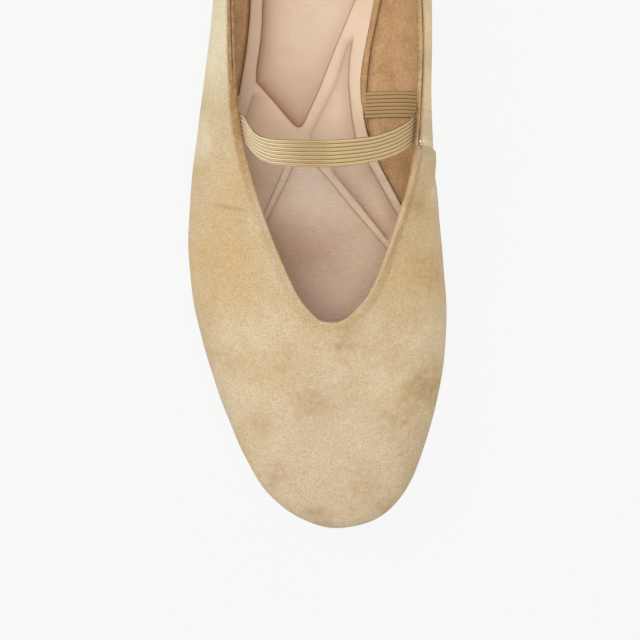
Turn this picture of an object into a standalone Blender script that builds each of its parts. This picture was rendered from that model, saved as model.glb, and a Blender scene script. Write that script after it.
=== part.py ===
"""Right ballet flat: upper, elastic strap, insole, outsole and heel.

Metres, +Z up, standing on the ground plane. The toe points to -Y, the inner side of the foot lies
towards +X, and the origin is under the middle of the shoe.
"""
import math
from collections import namedtuple

import bmesh
import bpy
import numpy as np

# Driving sizes
LENGTH = 0.250
BALL_WIDTH = 0.0836
INSTEP_HEIGHT = 0.040
HEEL_HEIGHT = 0.007
TOE_SPRING = 0.007
SOLE_THICKNESS = 0.003
SOLE_MARGIN = 0.0006
INSOLE_THICKNESS = 0.0025
WALL = 0.0016
VAMP_STEP = 0.0008
STRAP_WIDTH = 0.0085
STRAP_THICKNESS = 0.0012
STRAP_SOFTNESS = 0.6
STRAP_GAP = 0.0005
STRAP_END_GAP = 0.0012
HEEL_TAPER = 0.0012
CLEARANCE = 0.0003

# How fast the wall leaves its lower edge on the way to the widest line
FLARE = 1.7

# Places along the shoe, as shares of its length from the toe tip
TREAD_FRONT = 0.27
TREAD_BACK = 0.44
SEAT_FRONT = 0.74
HEEL_BREAST = 0.75
SEAM = 0.492
SEAM_WIDTH = 0.004
STEP_FADE = 0.16
STRAP_FOOT = 0.542
STRAP_COLLAR = 0.506

# Mesh density
STATIONS = 42
BULGE_ROWS = 4
WALL_ROWS = 8
LIP_ROWS = 4
ACROSS = 4
TAIL_STEPS = 9
STRAP_STEPS = 72

Side = namedtuple("Side", "share outer inner")
Collar = namedtuple("Collar", "share outer_along outer_x inner_along inner_x height")
Lean = namedtuple("Lean", "share outer inner reach")
Bend = namedtuple("Bend", "across rise forward tilt")

# Widest outline seen from above: x of each side, as shares of the ball width
OUTLINE = (
    Side(0.0, 0.077, 0.077),
    Side(0.0104, -0.055, 0.220),
    Side(0.036, -0.167, 0.313),
    Side(0.0876, -0.274, 0.395),
    Side(0.14, -0.345, 0.444),
    Side(0.20, -0.408, 0.483),
    Side(0.268, -0.466, 0.499),
    Side(0.34, -0.497, 0.486),
    Side(0.42, -0.493, 0.459),
    Side(0.50, -0.466, 0.442),
    Side(0.59, -0.429, 0.434),
    Side(0.68, -0.397, 0.431),
    Side(0.77, -0.373, 0.405),
    Side(0.86, -0.353, 0.361),
    Side(0.93, -0.311, 0.307),
    Side(0.976, -0.206, 0.196),
    Side(1.0, -0.007, -0.007),
)

# Lower edge of the upper, set in from the outline, as shares of the ball width
FEATHER_INSET = (
    Side(0.0, 0.038, 0.038),
    Side(0.036, 0.038, 0.038),
    Side(0.14, 0.041, 0.041),
    Side(0.268, 0.046, 0.046),
    Side(0.34, 0.052, 0.058),
    Side(0.42, 0.066, 0.100),
    Side(0.50, 0.089, 0.198),
    Side(0.59, 0.107, 0.218),
    Side(0.68, 0.108, 0.162),
    Side(0.77, 0.078, 0.098),
    Side(0.86, 0.046, 0.049),
    Side(0.93, 0.040, 0.040),
    Side(1.0, 0.038, 0.038),
)

# Height of the widest line above the sole, as shares of the instep height
WIDEST_HEIGHT = (
    Side(0.0, 0.24, 0.24),
    Side(0.14, 0.25, 0.25),
    Side(0.268, 0.25, 0.26),
    Side(0.42, 0.32, 0.42),
    Side(0.50, 0.40, 0.56),
    Side(0.59, 0.46, 0.64),
    Side(0.68, 0.50, 0.64),
    Side(0.86, 0.56, 0.58),
    Side(1.0, 0.56, 0.56),
)

# Collar edge: place along the length and x of each side, height above the sole by instep height
COLLAR = (
    Collar(0.0, 0.2608, 0.059, 0.2608, 0.059, 0.875),
    Collar(0.036, 0.2619, 0.027, 0.2630, 0.092, 0.876),
    Collar(0.0876, 0.2652, -0.003, 0.2694, 0.126, 0.880),
    Collar(0.14, 0.2730, -0.029, 0.2786, 0.155, 0.888),
    Collar(0.20, 0.2838, -0.059, 0.2916, 0.191, 0.900),
    Collar(0.268, 0.3066, -0.103, 0.3108, 0.225, 0.915),
    Collar(0.34, 0.3497, -0.161, 0.3472, 0.270, 0.940),
    Collar(0.42, 0.4126, -0.233, 0.4072, 0.331, 0.970),
    Collar(0.46, 0.4560, -0.272, 0.4505, 0.367, 0.985),
    Collar(0.50, 0.5000, -0.301, 0.4980, 0.384, 1.0),
    Collar(0.59, 0.5900, -0.325, 0.5884, 0.396, 0.980),
    Collar(0.68, 0.6740, -0.331, 0.6740, 0.389, 0.965),
    Collar(0.77, 0.7620, -0.326, 0.7620, 0.366, 1.005),
    Collar(0.86, 0.8480, -0.307, 0.8480, 0.323, 1.095),
    Collar(0.93, 0.9150, -0.256, 0.9150, 0.253, 1.180),
    Collar(0.976, 0.9610, -0.158, 0.9610, 0.148, 1.235),
    Collar(1.0, 0.9816, -0.007, 0.9816, -0.007, 1.250),
)

# Slope of the wall where it reaches the collar, in degrees, and how far it holds that slope
LEAN = (
    Lean(0.0, 17.0, 17.0, 0.50),
    Lean(0.14, 21.0, 21.0, 0.49),
    Lean(0.268, 31.0, 31.0, 0.45),
    Lean(0.42, 47.0, 52.0, 0.42),
    Lean(0.59, 60.0, 72.0, 0.38),
    Lean(0.77, 70.0, 74.0, 0.36),
    Lean(1.0, 78.0, 78.0, 0.36),
)

# Free part of the strap: rise above the collar by instep height, forward shift by length and the tilt
# of its width in degrees
BAND = (
    Bend(0.065, 0.125, 0.0176, 38.0),
    Bend(0.130, 0.170, 0.0262, 30.0),
    Bend(0.225, 0.205, 0.0302, 20.0),
    Bend(0.500, 0.230, 0.0312, 6.0),
    Bend(0.740, 0.205, 0.0256, 20.0),
    Bend(0.870, 0.165, 0.0175, 20.0),
    Bend(0.945, 0.105, 0.0090, 18.0),
)


def turn_at(share):
    """Turn around the shoe, 0 at the toe tip and pi at the heel, at a share of the length."""
    return math.acos(1.0 - 2.0 * share)


def loop_curve(turns, values):
    """Smooth closed curve through values at turns that rise from one lap's start to its end."""
    turns = np.array(turns)
    values = np.array(values)
    count = len(turns)
    steps = np.diff(np.append(turns, turns[0] + 2.0 * math.pi))
    slopes = (np.roll(values, -1) - values) / steps
    system = np.zeros((count, count))
    for index in range(count):
        before = steps[index - 1]
        after = steps[index]
        system[index, index - 1] += before
        system[index, index] += 2.0 * (before + after)
        system[index, (index + 1) % count] += after
    bends = np.linalg.solve(system, 6.0 * (slopes - np.roll(slopes, 1)))

    def value(turn):
        lap = turns[0] + (turn - turns[0]) % (2.0 * math.pi)
        index = int(np.searchsorted(turns, lap, side="right")) - 1
        step = steps[index]
        right = (lap - turns[index]) / step
        left = 1.0 - right
        following = (index + 1) % count
        curve = (left ** 3 - left) * bends[index] + (right ** 3 - right) * bends[following]
        return left * values[index] + right * values[following] + curve * step * step / 6.0

    return value


def around(table, outer, inner):
    """Closed curve from a table whose rows hold one value for each side."""
    ordered = [(-turn_at(row.share), getattr(row, outer)) for row in reversed(table)]
    ordered += [(turn_at(row.share), getattr(row, inner)) for row in table[1:-1]]
    return loop_curve([turn for turn, _ in ordered], [value for _, value in ordered])


outline_x = around(OUTLINE, "outer", "inner")
feather_inset = around(FEATHER_INSET, "outer", "inner")
widest_height = around(WIDEST_HEIGHT, "outer", "inner")
collar_along = around(COLLAR, "outer_along", "inner_along")
collar_x = around(COLLAR, "outer_x", "inner_x")
collar_height = around(COLLAR, "height", "height")
collar_lean = around(LEAN, "outer", "inner")
lean_reach = around(LEAN, "reach", "reach")


def ease(amount):
    """Smooth step from 0 to 1."""
    held = min(max(amount, 0.0), 1.0)
    return held * held * (3.0 - 2.0 * held)


def share_of(y):
    """Share of the length from the toe tip at a place along Y."""
    return y / LENGTH + 0.5


def sole_bottom(y):
    """Underside of the outsole: toe spring, flat tread, rising waist and heel seat."""
    share = share_of(y)
    if share < TREAD_FRONT:
        return TOE_SPRING * (1.0 - share / TREAD_FRONT) ** 2
    return HEEL_HEIGHT * ease((share - TREAD_BACK) / (SEAT_FRONT - TREAD_BACK))


def sole_top(y):
    """Top of the outsole."""
    return sole_bottom(y) + SOLE_THICKNESS


def outline_point(turn):
    """Point of the widest outline, seen from above."""
    return np.array((outline_x(turn) * BALL_WIDTH, -LENGTH * math.cos(turn) / 2.0))


def inward(turn):
    """Unit vector from the outline towards the inside, seen from above."""
    small = 0.002
    along = outline_point(turn + small) - outline_point(turn - small)
    along /= np.linalg.norm(along)
    return np.array((-along[1], along[0]))


def feather_point(turn):
    """Lower outer corner of the upper, seen from above."""
    return outline_point(turn) + inward(turn) * feather_inset(turn) * BALL_WIDTH


def bezier(first, second, third, fourth, amount):
    """Point of a cubic curve."""
    rest = 1.0 - amount
    return (rest ** 3 * first + 3.0 * rest * rest * amount * second
            + 3.0 * rest * amount * amount * third + amount ** 3 * fourth)


def last_point(turn, level):
    """Outside of the shell: level 0 at its lower edge, 1 at the widest line, 2 at the collar."""
    foot = feather_point(turn)
    wide = outline_point(turn)
    floor = sole_top(foot[1])
    widest = floor + widest_height(turn) * INSTEP_HEIGHT
    if level <= 1.0:
        swing = 1.0 - (1.0 - level) ** FLARE
        flat = foot + (wide - foot) * swing
        base = floor + CLEARANCE
        return np.array((flat[0], flat[1], base + (widest - base) * level))
    collar = np.array((collar_x(turn) * BALL_WIDTH, (collar_along(turn) - 0.5) * LENGTH))
    top = sole_top(collar[1]) + collar_height(turn) * INSTEP_HEIGHT
    span = float(np.linalg.norm(collar - wide))
    rise = top - widest
    slope = math.radians(collar_lean(turn))
    hold = lean_reach(turn) * math.hypot(span, rise)
    amount = level - 1.0
    inwards = bezier(0.0, 0.0, span - hold * math.cos(slope), span, amount)
    upwards = bezier(0.0, rise / 2.0, rise - hold * math.sin(slope), rise, amount)
    flat = wide + (collar - wide) * (inwards / span)
    return np.array((flat[0], flat[1], widest + upwards))


def unit(vector):
    """Vector of length one."""
    return vector / np.linalg.norm(vector)


def frame_at(turn, level):
    """Outward normal and upward tangent of the shell."""
    small = 0.004
    low = max(level - small, 0.0)
    high = min(level + small, 2.0)
    upward = unit(last_point(turn, high) - last_point(turn, low))
    onward = last_point(turn + small, level) - last_point(turn - small, level)
    return unit(np.cross(onward, upward)), upward


def shell_point(turn, level, depth):
    """Point a depth under the outside, or over it if negative, level with the sole at the lower edge."""
    normal, upward = frame_at(turn, level)
    surface = last_point(turn, level)
    point = surface - normal * depth
    if level == 0.0:
        point += upward * (surface[2] - point[2]) / upward[2]
    return point


def vamp_step(turn):
    """Height of the vamp's lap over the quarter, on the inner side only."""
    share = (1.0 - math.cos(turn)) / 2.0
    if turn <= 0.0 or share > SEAM:
        return 0.0
    return VAMP_STEP * ease(1.0 - (SEAM - share) / STEP_FADE)


def station_shares():
    """Shares of the length that carry sections, closer together at both ends and at the seam."""
    even = [(1.0 - math.cos(math.pi * index / STATIONS)) / 2.0 for index in range(STATIONS + 1)]
    clear = [share for share in even if abs(share - SEAM) > SEAM_WIDTH]
    return sorted(clear + [SEAM - SEAM_WIDTH / 8.0, SEAM + SEAM_WIDTH / 8.0])


def loop_turns():
    """Turns of all sections, once around the shoe from the heel."""
    shares = station_shares()
    return [-turn_at(share) for share in reversed(shares)] + [turn_at(share) for share in shares[1:-1]]


def grid(columns, rows, place, closed_columns=False, closed_rows=False):
    """Mesh from a grid whose corners are moved to place(column, row) and remember both numbers."""
    shape = bmesh.new()
    column_layer = shape.verts.layers.int.new("column")
    row_layer = shape.verts.layers.int.new("row")
    half = 0.5
    bmesh.ops.create_grid(shape, x_segments=columns, y_segments=rows, size=half)
    for corner in shape.verts:
        column = round((corner.co.x / half + 1.0) / 2.0 * columns)
        row = round((corner.co.y / half + 1.0) / 2.0 * rows)
        if closed_columns:
            column %= columns
        if closed_rows:
            row %= rows
        corner[column_layer] = column
        corner[row_layer] = row
        corner.co = place(column, row)
    bmesh.ops.remove_doubles(shape, verts=shape.verts, dist=1e-7)
    return shape


def finish(name, shape, material, sharp=30.0):
    """Object from a bmesh, facing outwards and shaded smooth between its sharp edges."""
    bmesh.ops.recalc_face_normals(shape, faces=shape.faces)
    mesh = bpy.data.meshes.new(name)
    shape.to_mesh(mesh)
    shape.free()
    mesh.materials.append(material)
    mesh.shade_smooth()
    mesh.set_sharp_from_angle(angle=math.radians(sharp))
    piece = bpy.data.objects.new(name, mesh)
    bpy.context.scene.collection.objects.link(piece)
    return piece


def finish_material(name, colour, roughness):
    """Plain Principled material."""
    material = bpy.data.materials.new(name)
    material.use_nodes = True
    shader = material.node_tree.nodes["Principled BSDF"]
    shader.inputs["Base Color"].default_value = (*colour, 1.0)
    shader.inputs["Roughness"].default_value = roughness
    shader.inputs["Metallic"].default_value = 0.0
    return material


def build_upper(material):
    """Hollow shell with a rounded collar and a flat lower edge."""
    turns = loop_turns()
    levels = [index / BULGE_ROWS for index in range(BULGE_ROWS)]
    levels += [1.0 + index / WALL_ROWS for index in range(WALL_ROWS + 1)]
    sections = []
    for turn in turns:
        outside = [shell_point(turn, level, -vamp_step(turn)) for level in levels]
        inside = [shell_point(turn, level, WALL) for level in levels]
        middle = (outside[-1] + inside[-1]) / 2.0
        half = (outside[-1] - inside[-1]) / 2.0
        crown = frame_at(turn, 2.0)[1] * np.linalg.norm(half)
        lip = []
        for index in range(1, LIP_ROWS):
            angle = math.pi * index / LIP_ROWS
            lip.append(middle + half * math.cos(angle) + crown * math.sin(angle))
        sections.append(outside + lip + inside[::-1])
    shape = grid(len(turns), len(sections[0]), lambda column, row: sections[column][row],
                 closed_columns=True, closed_rows=True)
    return finish("upper", shape, material, sharp=50.0)


def slab(name, material, shares, top_edge, top_height, foot_edge, foot_height):
    """Closed plate between two edges, each a function of the turn, at heights that follow the length."""

    def layer(edge, height):
        def place(column, row):
            turn = turn_at(shares[row])
            flat = edge(-turn) + (edge(turn) - edge(-turn)) * (column / ACROSS)
            return (flat[0], flat[1], height(flat[1]))
        return place

    shape = grid(ACROSS, len(shares) - 1, layer(top_edge, top_height))
    column_layer = shape.verts.layers.int["column"]
    row_layer = shape.verts.layers.int["row"]
    foot = layer(foot_edge, foot_height)
    made = bmesh.ops.extrude_face_region(shape, geom=shape.faces[:])
    for corner in [item for item in made["geom"] if isinstance(item, bmesh.types.BMVert)]:
        corner.co = foot(corner[column_layer], corner[row_layer])
    return finish(name, shape, material)


def sole_edge(turn):
    """Edge of the outsole, seen from above."""
    return feather_point(turn) - inward(turn) * SOLE_MARGIN


def insole_edge(turn):
    """Edge of the insole, clear of the inside of the wall."""
    return shell_point(turn, 0.0, WALL)[:2] + inward(turn) * CLEARANCE


def heel_foot_edge(turn):
    """Edge of the heel on the ground, drawn in from the edge of the seat."""
    return sole_edge(turn) + inward(turn) * HEEL_TAPER


def insole_low(y):
    """Underside of the insole."""
    return sole_top(y) + CLEARANCE


def insole_high(y):
    """Top of the insole."""
    return insole_low(y) + INSOLE_THICKNESS


def heel_high(y):
    """Top of the heel block, under the flat seat."""
    return sole_bottom(y) - CLEARANCE


def ground(y):
    """Ground plane, the same all along the shoe."""
    return 0.0


def build_outsole(material):
    """Outsole in one thickness, bent to the last."""
    return slab("outsole", material, station_shares(), sole_edge, sole_top, sole_edge, sole_bottom)


def build_insole(material):
    """Footbed on the outsole, inside the upper."""
    return slab("insole", material, station_shares(), insole_edge, insole_high, insole_edge, insole_low)


def build_heel(material):
    """Low heel block under the seat, with its edge drawn in a little towards the ground."""
    shares = [HEEL_BREAST] + [share for share in station_shares() if share > HEEL_BREAST]
    return slab("heel", material, shares, sole_edge, heel_high, heel_foot_edge, ground)


def strap_tail(side):
    """Points up the inside of one wall, each with the direction of the strap's width there."""
    depth = WALL + STRAP_GAP + STRAP_THICKNESS / 2.0
    foot_turn = side * turn_at(STRAP_FOOT)
    lowest = (INSOLE_THICKNESS + STRAP_END_GAP) / (widest_height(foot_turn) * INSTEP_HEIGHT)
    tail = []
    for index in range(TAIL_STEPS + 1):
        amount = index / TAIL_STEPS
        share = STRAP_FOOT + (STRAP_COLLAR - STRAP_FOOT) * amount ** 2
        turn = side * turn_at(share)
        level = lowest + (2.0 - lowest) * amount
        small = 0.01
        onward = shell_point(turn + small, level, WALL) - shell_point(turn - small, level, WALL)
        tail.append(np.concatenate((shell_point(turn, level, depth), unit(onward) * side)))
    return tail


def strap_path():
    """Middle line of the strap and its width direction, from the outer side over to the inner side."""
    outer_tail = strap_tail(-1.0)
    inner_tail = strap_tail(1.0)
    start = outer_tail[-1]
    end = inner_tail[-1]
    bridge = []
    for bend in BAND:
        point = start + (end - start) * bend.across
        point[1] -= bend.forward * LENGTH
        point[2] += bend.rise * INSTEP_HEIGHT
        tilt = math.radians(bend.tilt)
        point[3:] = (0.0, math.cos(tilt), math.sin(tilt))
        bridge.append(point)
    return outer_tail + bridge + inner_tail[::-1]


def resample(points, count):
    """Rows at even steps of length on a smooth curve through the given rows."""
    points = np.array(points)
    before = np.vstack((2.0 * points[0] - points[1], points[:-1]))
    after = np.vstack((points[1:], 2.0 * points[-1] - points[-2]))
    tangents = (after - before) / 6.0
    pieces = 12
    fine = []
    for index in range(len(points) - 1):
        for step in range(pieces):
            fine.append(bezier(points[index], points[index] + tangents[index],
                               points[index + 1] - tangents[index + 1], points[index + 1], step / pieces))
    fine.append(points[-1])
    fine = np.array(fine)
    steps = np.linalg.norm(np.diff(fine[:, :3], axis=0), axis=1)
    run = np.concatenate(([0.0], np.cumsum(steps)))
    marks = np.linspace(0.0, run[-1], count)
    return np.stack([np.interp(marks, run, column) for column in fine.T], axis=1)


def build_strap(material):
    """Elastic band with soft edges, in one piece with its sewn-in ends."""
    path = resample(strap_path(), STRAP_STEPS + 1)
    half_width = STRAP_WIDTH / 2.0
    half_thick = STRAP_THICKNESS / 2.0
    chamfer = half_thick * STRAP_SOFTNESS
    quarter = ((half_width, half_thick - chamfer), (half_width - chamfer, half_thick))
    outline = [*quarter]
    outline += [(-wide, thick) for wide, thick in reversed(quarter)]
    outline += [(-wide, -thick) for wide, thick in quarter]
    outline += [(wide, -thick) for wide, thick in reversed(quarter)]
    sections = []
    for index, row in enumerate(path):
        along = unit(path[min(index + 1, STRAP_STEPS)][:3] - path[max(index - 1, 0)][:3])
        across = unit(row[3:] - along * np.dot(row[3:], along))
        outwards = np.cross(along, across)
        sections.append([row[:3] + across * wide + outwards * thick for wide, thick in outline])
    shape = grid(len(outline), STRAP_STEPS, lambda column, row: sections[row][column], closed_columns=True)
    ends = [edge for edge in shape.edges if edge.is_boundary]
    bmesh.ops.holes_fill(shape, edges=ends, sides=len(outline))
    return finish("strap", shape, material)


def main():
    """Clear the scene and make the shoe."""
    for item in list(bpy.context.scene.objects):
        bpy.data.objects.remove(item, do_unlink=True)
    suede = finish_material("sand_suede", (0.66, 0.50, 0.30), 0.95)
    leather = finish_material("footbed_leather", (0.66, 0.47, 0.36), 0.60)
    rubber = finish_material("sole_rubber", (0.42, 0.32, 0.22), 0.75)
    stack = finish_material("heel_stack", (0.36, 0.27, 0.18), 0.70)
    elastic = finish_material("elastic_ribbon", (0.62, 0.50, 0.27), 0.85)
    build_outsole(rubber)
    build_heel(stack)
    build_insole(leather)
    build_upper(suede)
    build_strap(elastic)


main()
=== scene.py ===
"""Looks of a right ballet flat in sand suede with a ribbed elastic band over its throat.

Metres, +Z up. The toe points to -Y and the inner side of the foot lies towards +X.
"""
from __future__ import annotations

import logging
import math
from dataclasses import dataclass, field
from enum import Enum
from functools import cached_property
from typing import Callable, NamedTuple, Sequence

import bmesh
import bpy
import numpy as np
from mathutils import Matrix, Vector


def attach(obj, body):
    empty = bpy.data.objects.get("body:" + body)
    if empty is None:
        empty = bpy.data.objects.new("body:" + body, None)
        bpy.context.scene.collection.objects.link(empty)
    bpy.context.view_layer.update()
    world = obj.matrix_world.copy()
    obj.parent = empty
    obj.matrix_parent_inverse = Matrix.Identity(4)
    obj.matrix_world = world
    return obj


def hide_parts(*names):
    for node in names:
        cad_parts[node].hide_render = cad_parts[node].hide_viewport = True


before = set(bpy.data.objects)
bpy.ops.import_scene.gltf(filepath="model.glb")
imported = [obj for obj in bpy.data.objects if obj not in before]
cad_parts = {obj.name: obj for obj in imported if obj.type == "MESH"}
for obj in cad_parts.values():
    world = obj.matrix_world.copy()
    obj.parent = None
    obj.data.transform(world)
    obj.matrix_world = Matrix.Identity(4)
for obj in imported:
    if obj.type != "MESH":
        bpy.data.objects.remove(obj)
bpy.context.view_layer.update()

LOG = logging.getLogger("ballet_flat")
MM = 0.001
TAU = 2.0 * math.pi


class Slot(Enum):
    """Material slots of the record."""

    SUEDE = "suede"
    LINING = "lining"
    ELASTIC = "elastic"
    FOOTBED = "footbed"
    THREAD = "thread"
    SOLE = "sole"
    HEEL = "heel_stack"


class Foot(Enum):
    """Sides of the shoe: the outer one is that of the little toe."""

    OUTER = -1.0
    INNER = 1.0


class Side(NamedTuple):
    """One value for each side at a share of the length."""

    share: float
    outer: float
    inner: float


class Collar(NamedTuple):
    """Collar edge of both sides for the section at a share of the length."""

    share: float
    outer_along: float
    outer_x: float
    inner_along: float
    inner_x: float
    height: float


class Lean(NamedTuple):
    """Slope of the wall at the collar, in degrees, and how far it holds."""

    share: float
    outer: float
    inner: float
    reach: float


class Bend(NamedTuple):
    """Point of the free band between both walls, with the tilt of its width in degrees."""

    across: float
    rise: float
    forward: float
    tilt: float


class StripEdge(NamedTuple):
    """Edges of the turned lining strip at a share of the length, outwards from the footbed's edge."""

    share: float
    inner: float
    outer: float


OUTLINE = (
    Side(0.0, 0.077, 0.077), Side(0.0104, -0.055, 0.220), Side(0.036, -0.167, 0.313),
    Side(0.0876, -0.274, 0.395), Side(0.14, -0.345, 0.444), Side(0.20, -0.408, 0.483),
    Side(0.268, -0.466, 0.499), Side(0.34, -0.497, 0.486), Side(0.42, -0.493, 0.459),
    Side(0.50, -0.466, 0.442), Side(0.59, -0.429, 0.434), Side(0.68, -0.397, 0.431),
    Side(0.77, -0.373, 0.405), Side(0.86, -0.353, 0.361), Side(0.93, -0.311, 0.307),
    Side(0.976, -0.206, 0.196), Side(1.0, -0.007, -0.007),
)
FEATHER_INSET = (
    Side(0.0, 0.038, 0.038), Side(0.036, 0.038, 0.038), Side(0.14, 0.041, 0.041),
    Side(0.268, 0.046, 0.046), Side(0.34, 0.052, 0.058), Side(0.42, 0.066, 0.100),
    Side(0.50, 0.089, 0.198), Side(0.59, 0.107, 0.218), Side(0.68, 0.108, 0.162),
    Side(0.77, 0.078, 0.098), Side(0.86, 0.046, 0.049), Side(0.93, 0.040, 0.040),
    Side(1.0, 0.038, 0.038),
)
WIDEST_HEIGHT = (
    Side(0.0, 0.24, 0.24), Side(0.14, 0.25, 0.25), Side(0.268, 0.25, 0.26),
    Side(0.42, 0.32, 0.42), Side(0.50, 0.40, 0.56), Side(0.59, 0.46, 0.64),
    Side(0.68, 0.50, 0.64), Side(0.86, 0.56, 0.58), Side(1.0, 0.56, 0.56),
)
COLLAR = (
    Collar(0.0, 0.2608, 0.059, 0.2608, 0.059, 0.875),
    Collar(0.036, 0.2619, 0.027, 0.2630, 0.092, 0.876),
    Collar(0.0876, 0.2652, -0.003, 0.2694, 0.126, 0.880),
    Collar(0.14, 0.2730, -0.029, 0.2786, 0.155, 0.888),
    Collar(0.20, 0.2838, -0.059, 0.2916, 0.191, 0.900),
    Collar(0.268, 0.3066, -0.103, 0.3108, 0.225, 0.915),
    Collar(0.34, 0.3497, -0.161, 0.3472, 0.270, 0.940),
    Collar(0.42, 0.4126, -0.233, 0.4072, 0.331, 0.970),
    Collar(0.46, 0.4560, -0.272, 0.4505, 0.367, 0.985),
    Collar(0.50, 0.5000, -0.301, 0.4980, 0.384, 1.000),
    Collar(0.59, 0.5900, -0.325, 0.5884, 0.396, 0.980),
    Collar(0.68, 0.6740, -0.331, 0.6740, 0.389, 0.965),
    Collar(0.77, 0.7620, -0.326, 0.7620, 0.366, 1.005),
    Collar(0.86, 0.8480, -0.307, 0.8480, 0.323, 1.095),
    Collar(0.93, 0.9150, -0.256, 0.9150, 0.253, 1.180),
    Collar(0.976, 0.9610, -0.158, 0.9610, 0.148, 1.235),
    Collar(1.0, 0.9816, -0.007, 0.9816, -0.007, 1.250),
)
LEAN = (
    Lean(0.0, 17.0, 17.0, 0.50), Lean(0.14, 21.0, 21.0, 0.49), Lean(0.268, 31.0, 31.0, 0.45),
    Lean(0.42, 47.0, 52.0, 0.42), Lean(0.59, 60.0, 72.0, 0.38), Lean(0.77, 70.0, 74.0, 0.36),
    Lean(1.0, 78.0, 78.0, 0.36),
)
BAND = (
    Bend(0.065, 0.125, 0.0176, 38.0), Bend(0.130, 0.170, 0.0262, 30.0), Bend(0.225, 0.205, 0.0302, 20.0),
    Bend(0.500, 0.230, 0.0312, 6.0), Bend(0.740, 0.205, 0.0256, 20.0), Bend(0.870, 0.165, 0.0175, 20.0),
    Bend(0.945, 0.105, 0.0090, 18.0),
)
STRIP = (
    StripEdge(0.505, 0.0005, 0.0005), StripEdge(0.52, 0.0003, 0.0005), StripEdge(0.54, 0.0001, 0.0007),
    StripEdge(0.555, -0.0007, 0.0010), StripEdge(0.58, -0.0011, 0.0012), StripEdge(0.60, -0.0012, 0.0011),
    StripEdge(0.62, -0.0012, 0.0008), StripEdge(0.65, -0.0015, 0.0006), StripEdge(0.685, -0.0021, 0.0002),
    StripEdge(0.75, -0.0024, 0.0001), StripEdge(0.90, -0.0023, 0.0001), StripEdge(0.95, -0.0016, 0.0001),
)


def turn_at(share: np.ndarray | float) -> np.ndarray:
    """Turn around the shoe, 0 at the toe tip and pi at the heel, at a share of the length."""
    return np.arccos(1.0 - 2.0 * np.asarray(share, dtype=float))


def share_at(turn: np.ndarray | float) -> np.ndarray:
    """Share of the length at a turn."""
    return (1.0 - np.cos(turn)) / 2.0


def ease(amount: np.ndarray | float) -> np.ndarray:
    """Smooth step from 0 to 1."""
    held = np.clip(amount, 0.0, 1.0)
    return held * held * (3.0 - 2.0 * held)


def unit(vectors: np.ndarray) -> np.ndarray:
    """Vectors of length one along the last axis."""
    return vectors / np.linalg.norm(vectors, axis=-1, keepdims=True)


class LoopCurve:
    """Smooth closed curve through values at given turns."""

    def __init__(self, turns: Sequence[float], values: Sequence[float]) -> None:
        """Solves the curve.

        Args:
            turns: rising angles within one lap.
            values: value at each angle.
        """
        self.turns = np.array(turns, dtype=float)
        self.values = np.array(values, dtype=float)
        count = len(turns)
        self.steps = np.diff(np.append(self.turns, self.turns[0] + TAU))
        slopes = (np.roll(self.values, -1) - self.values) / self.steps
        system = np.zeros((count, count))
        for index in range(count):
            system[index, index - 1] += self.steps[index - 1]
            system[index, index] += 2.0 * (self.steps[index - 1] + self.steps[index])
            system[index, (index + 1) % count] += self.steps[index]
        self.bends = np.linalg.solve(system, 6.0 * (slopes - np.roll(slopes, 1)))

    def __call__(self, turn: np.ndarray | float) -> np.ndarray:
        """Values at the given turns.

        Args:
            turn: angles, in any lap.

        Returns:
            One value for each.
        """
        lap = self.turns[0] + (np.asarray(turn, dtype=float) - self.turns[0]) % TAU
        index = np.searchsorted(self.turns, lap, side="right") - 1
        following = (index + 1) % len(self.turns)
        step = self.steps[index]
        right = (lap - self.turns[index]) / step
        left = 1.0 - right
        curve = (left ** 3 - left) * self.bends[index] + (right ** 3 - right) * self.bends[following]
        return left * self.values[index] + right * self.values[following] + curve * step * step / 6.0

    @classmethod
    def around(cls, rows: Sequence[NamedTuple], outer: str, inner: str) -> "LoopCurve":
        """Curve from a table whose rows hold one value for each side.

        Args:
            rows: table from the toe tip to the heel.
            outer: name of the column for the outer side.
            inner: name of the column for the inner side.

        Returns:
            The closed curve.
        """
        ordered = [(-float(turn_at(row.share)), getattr(row, outer)) for row in reversed(rows)]
        ordered += [(float(turn_at(row.share)), getattr(row, inner)) for row in rows[1:-1]]
        return cls([turn for turn, _ in ordered], [value for _, value in ordered])


def bezier(first: np.ndarray, second: np.ndarray, third: np.ndarray, fourth: np.ndarray,
           amount: np.ndarray) -> np.ndarray:
    """Points of cubic curves."""
    rest = 1.0 - amount
    return (rest ** 3 * first + 3.0 * rest * rest * amount * second
            + 3.0 * rest * amount * amount * third + amount ** 3 * fourth)


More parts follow.
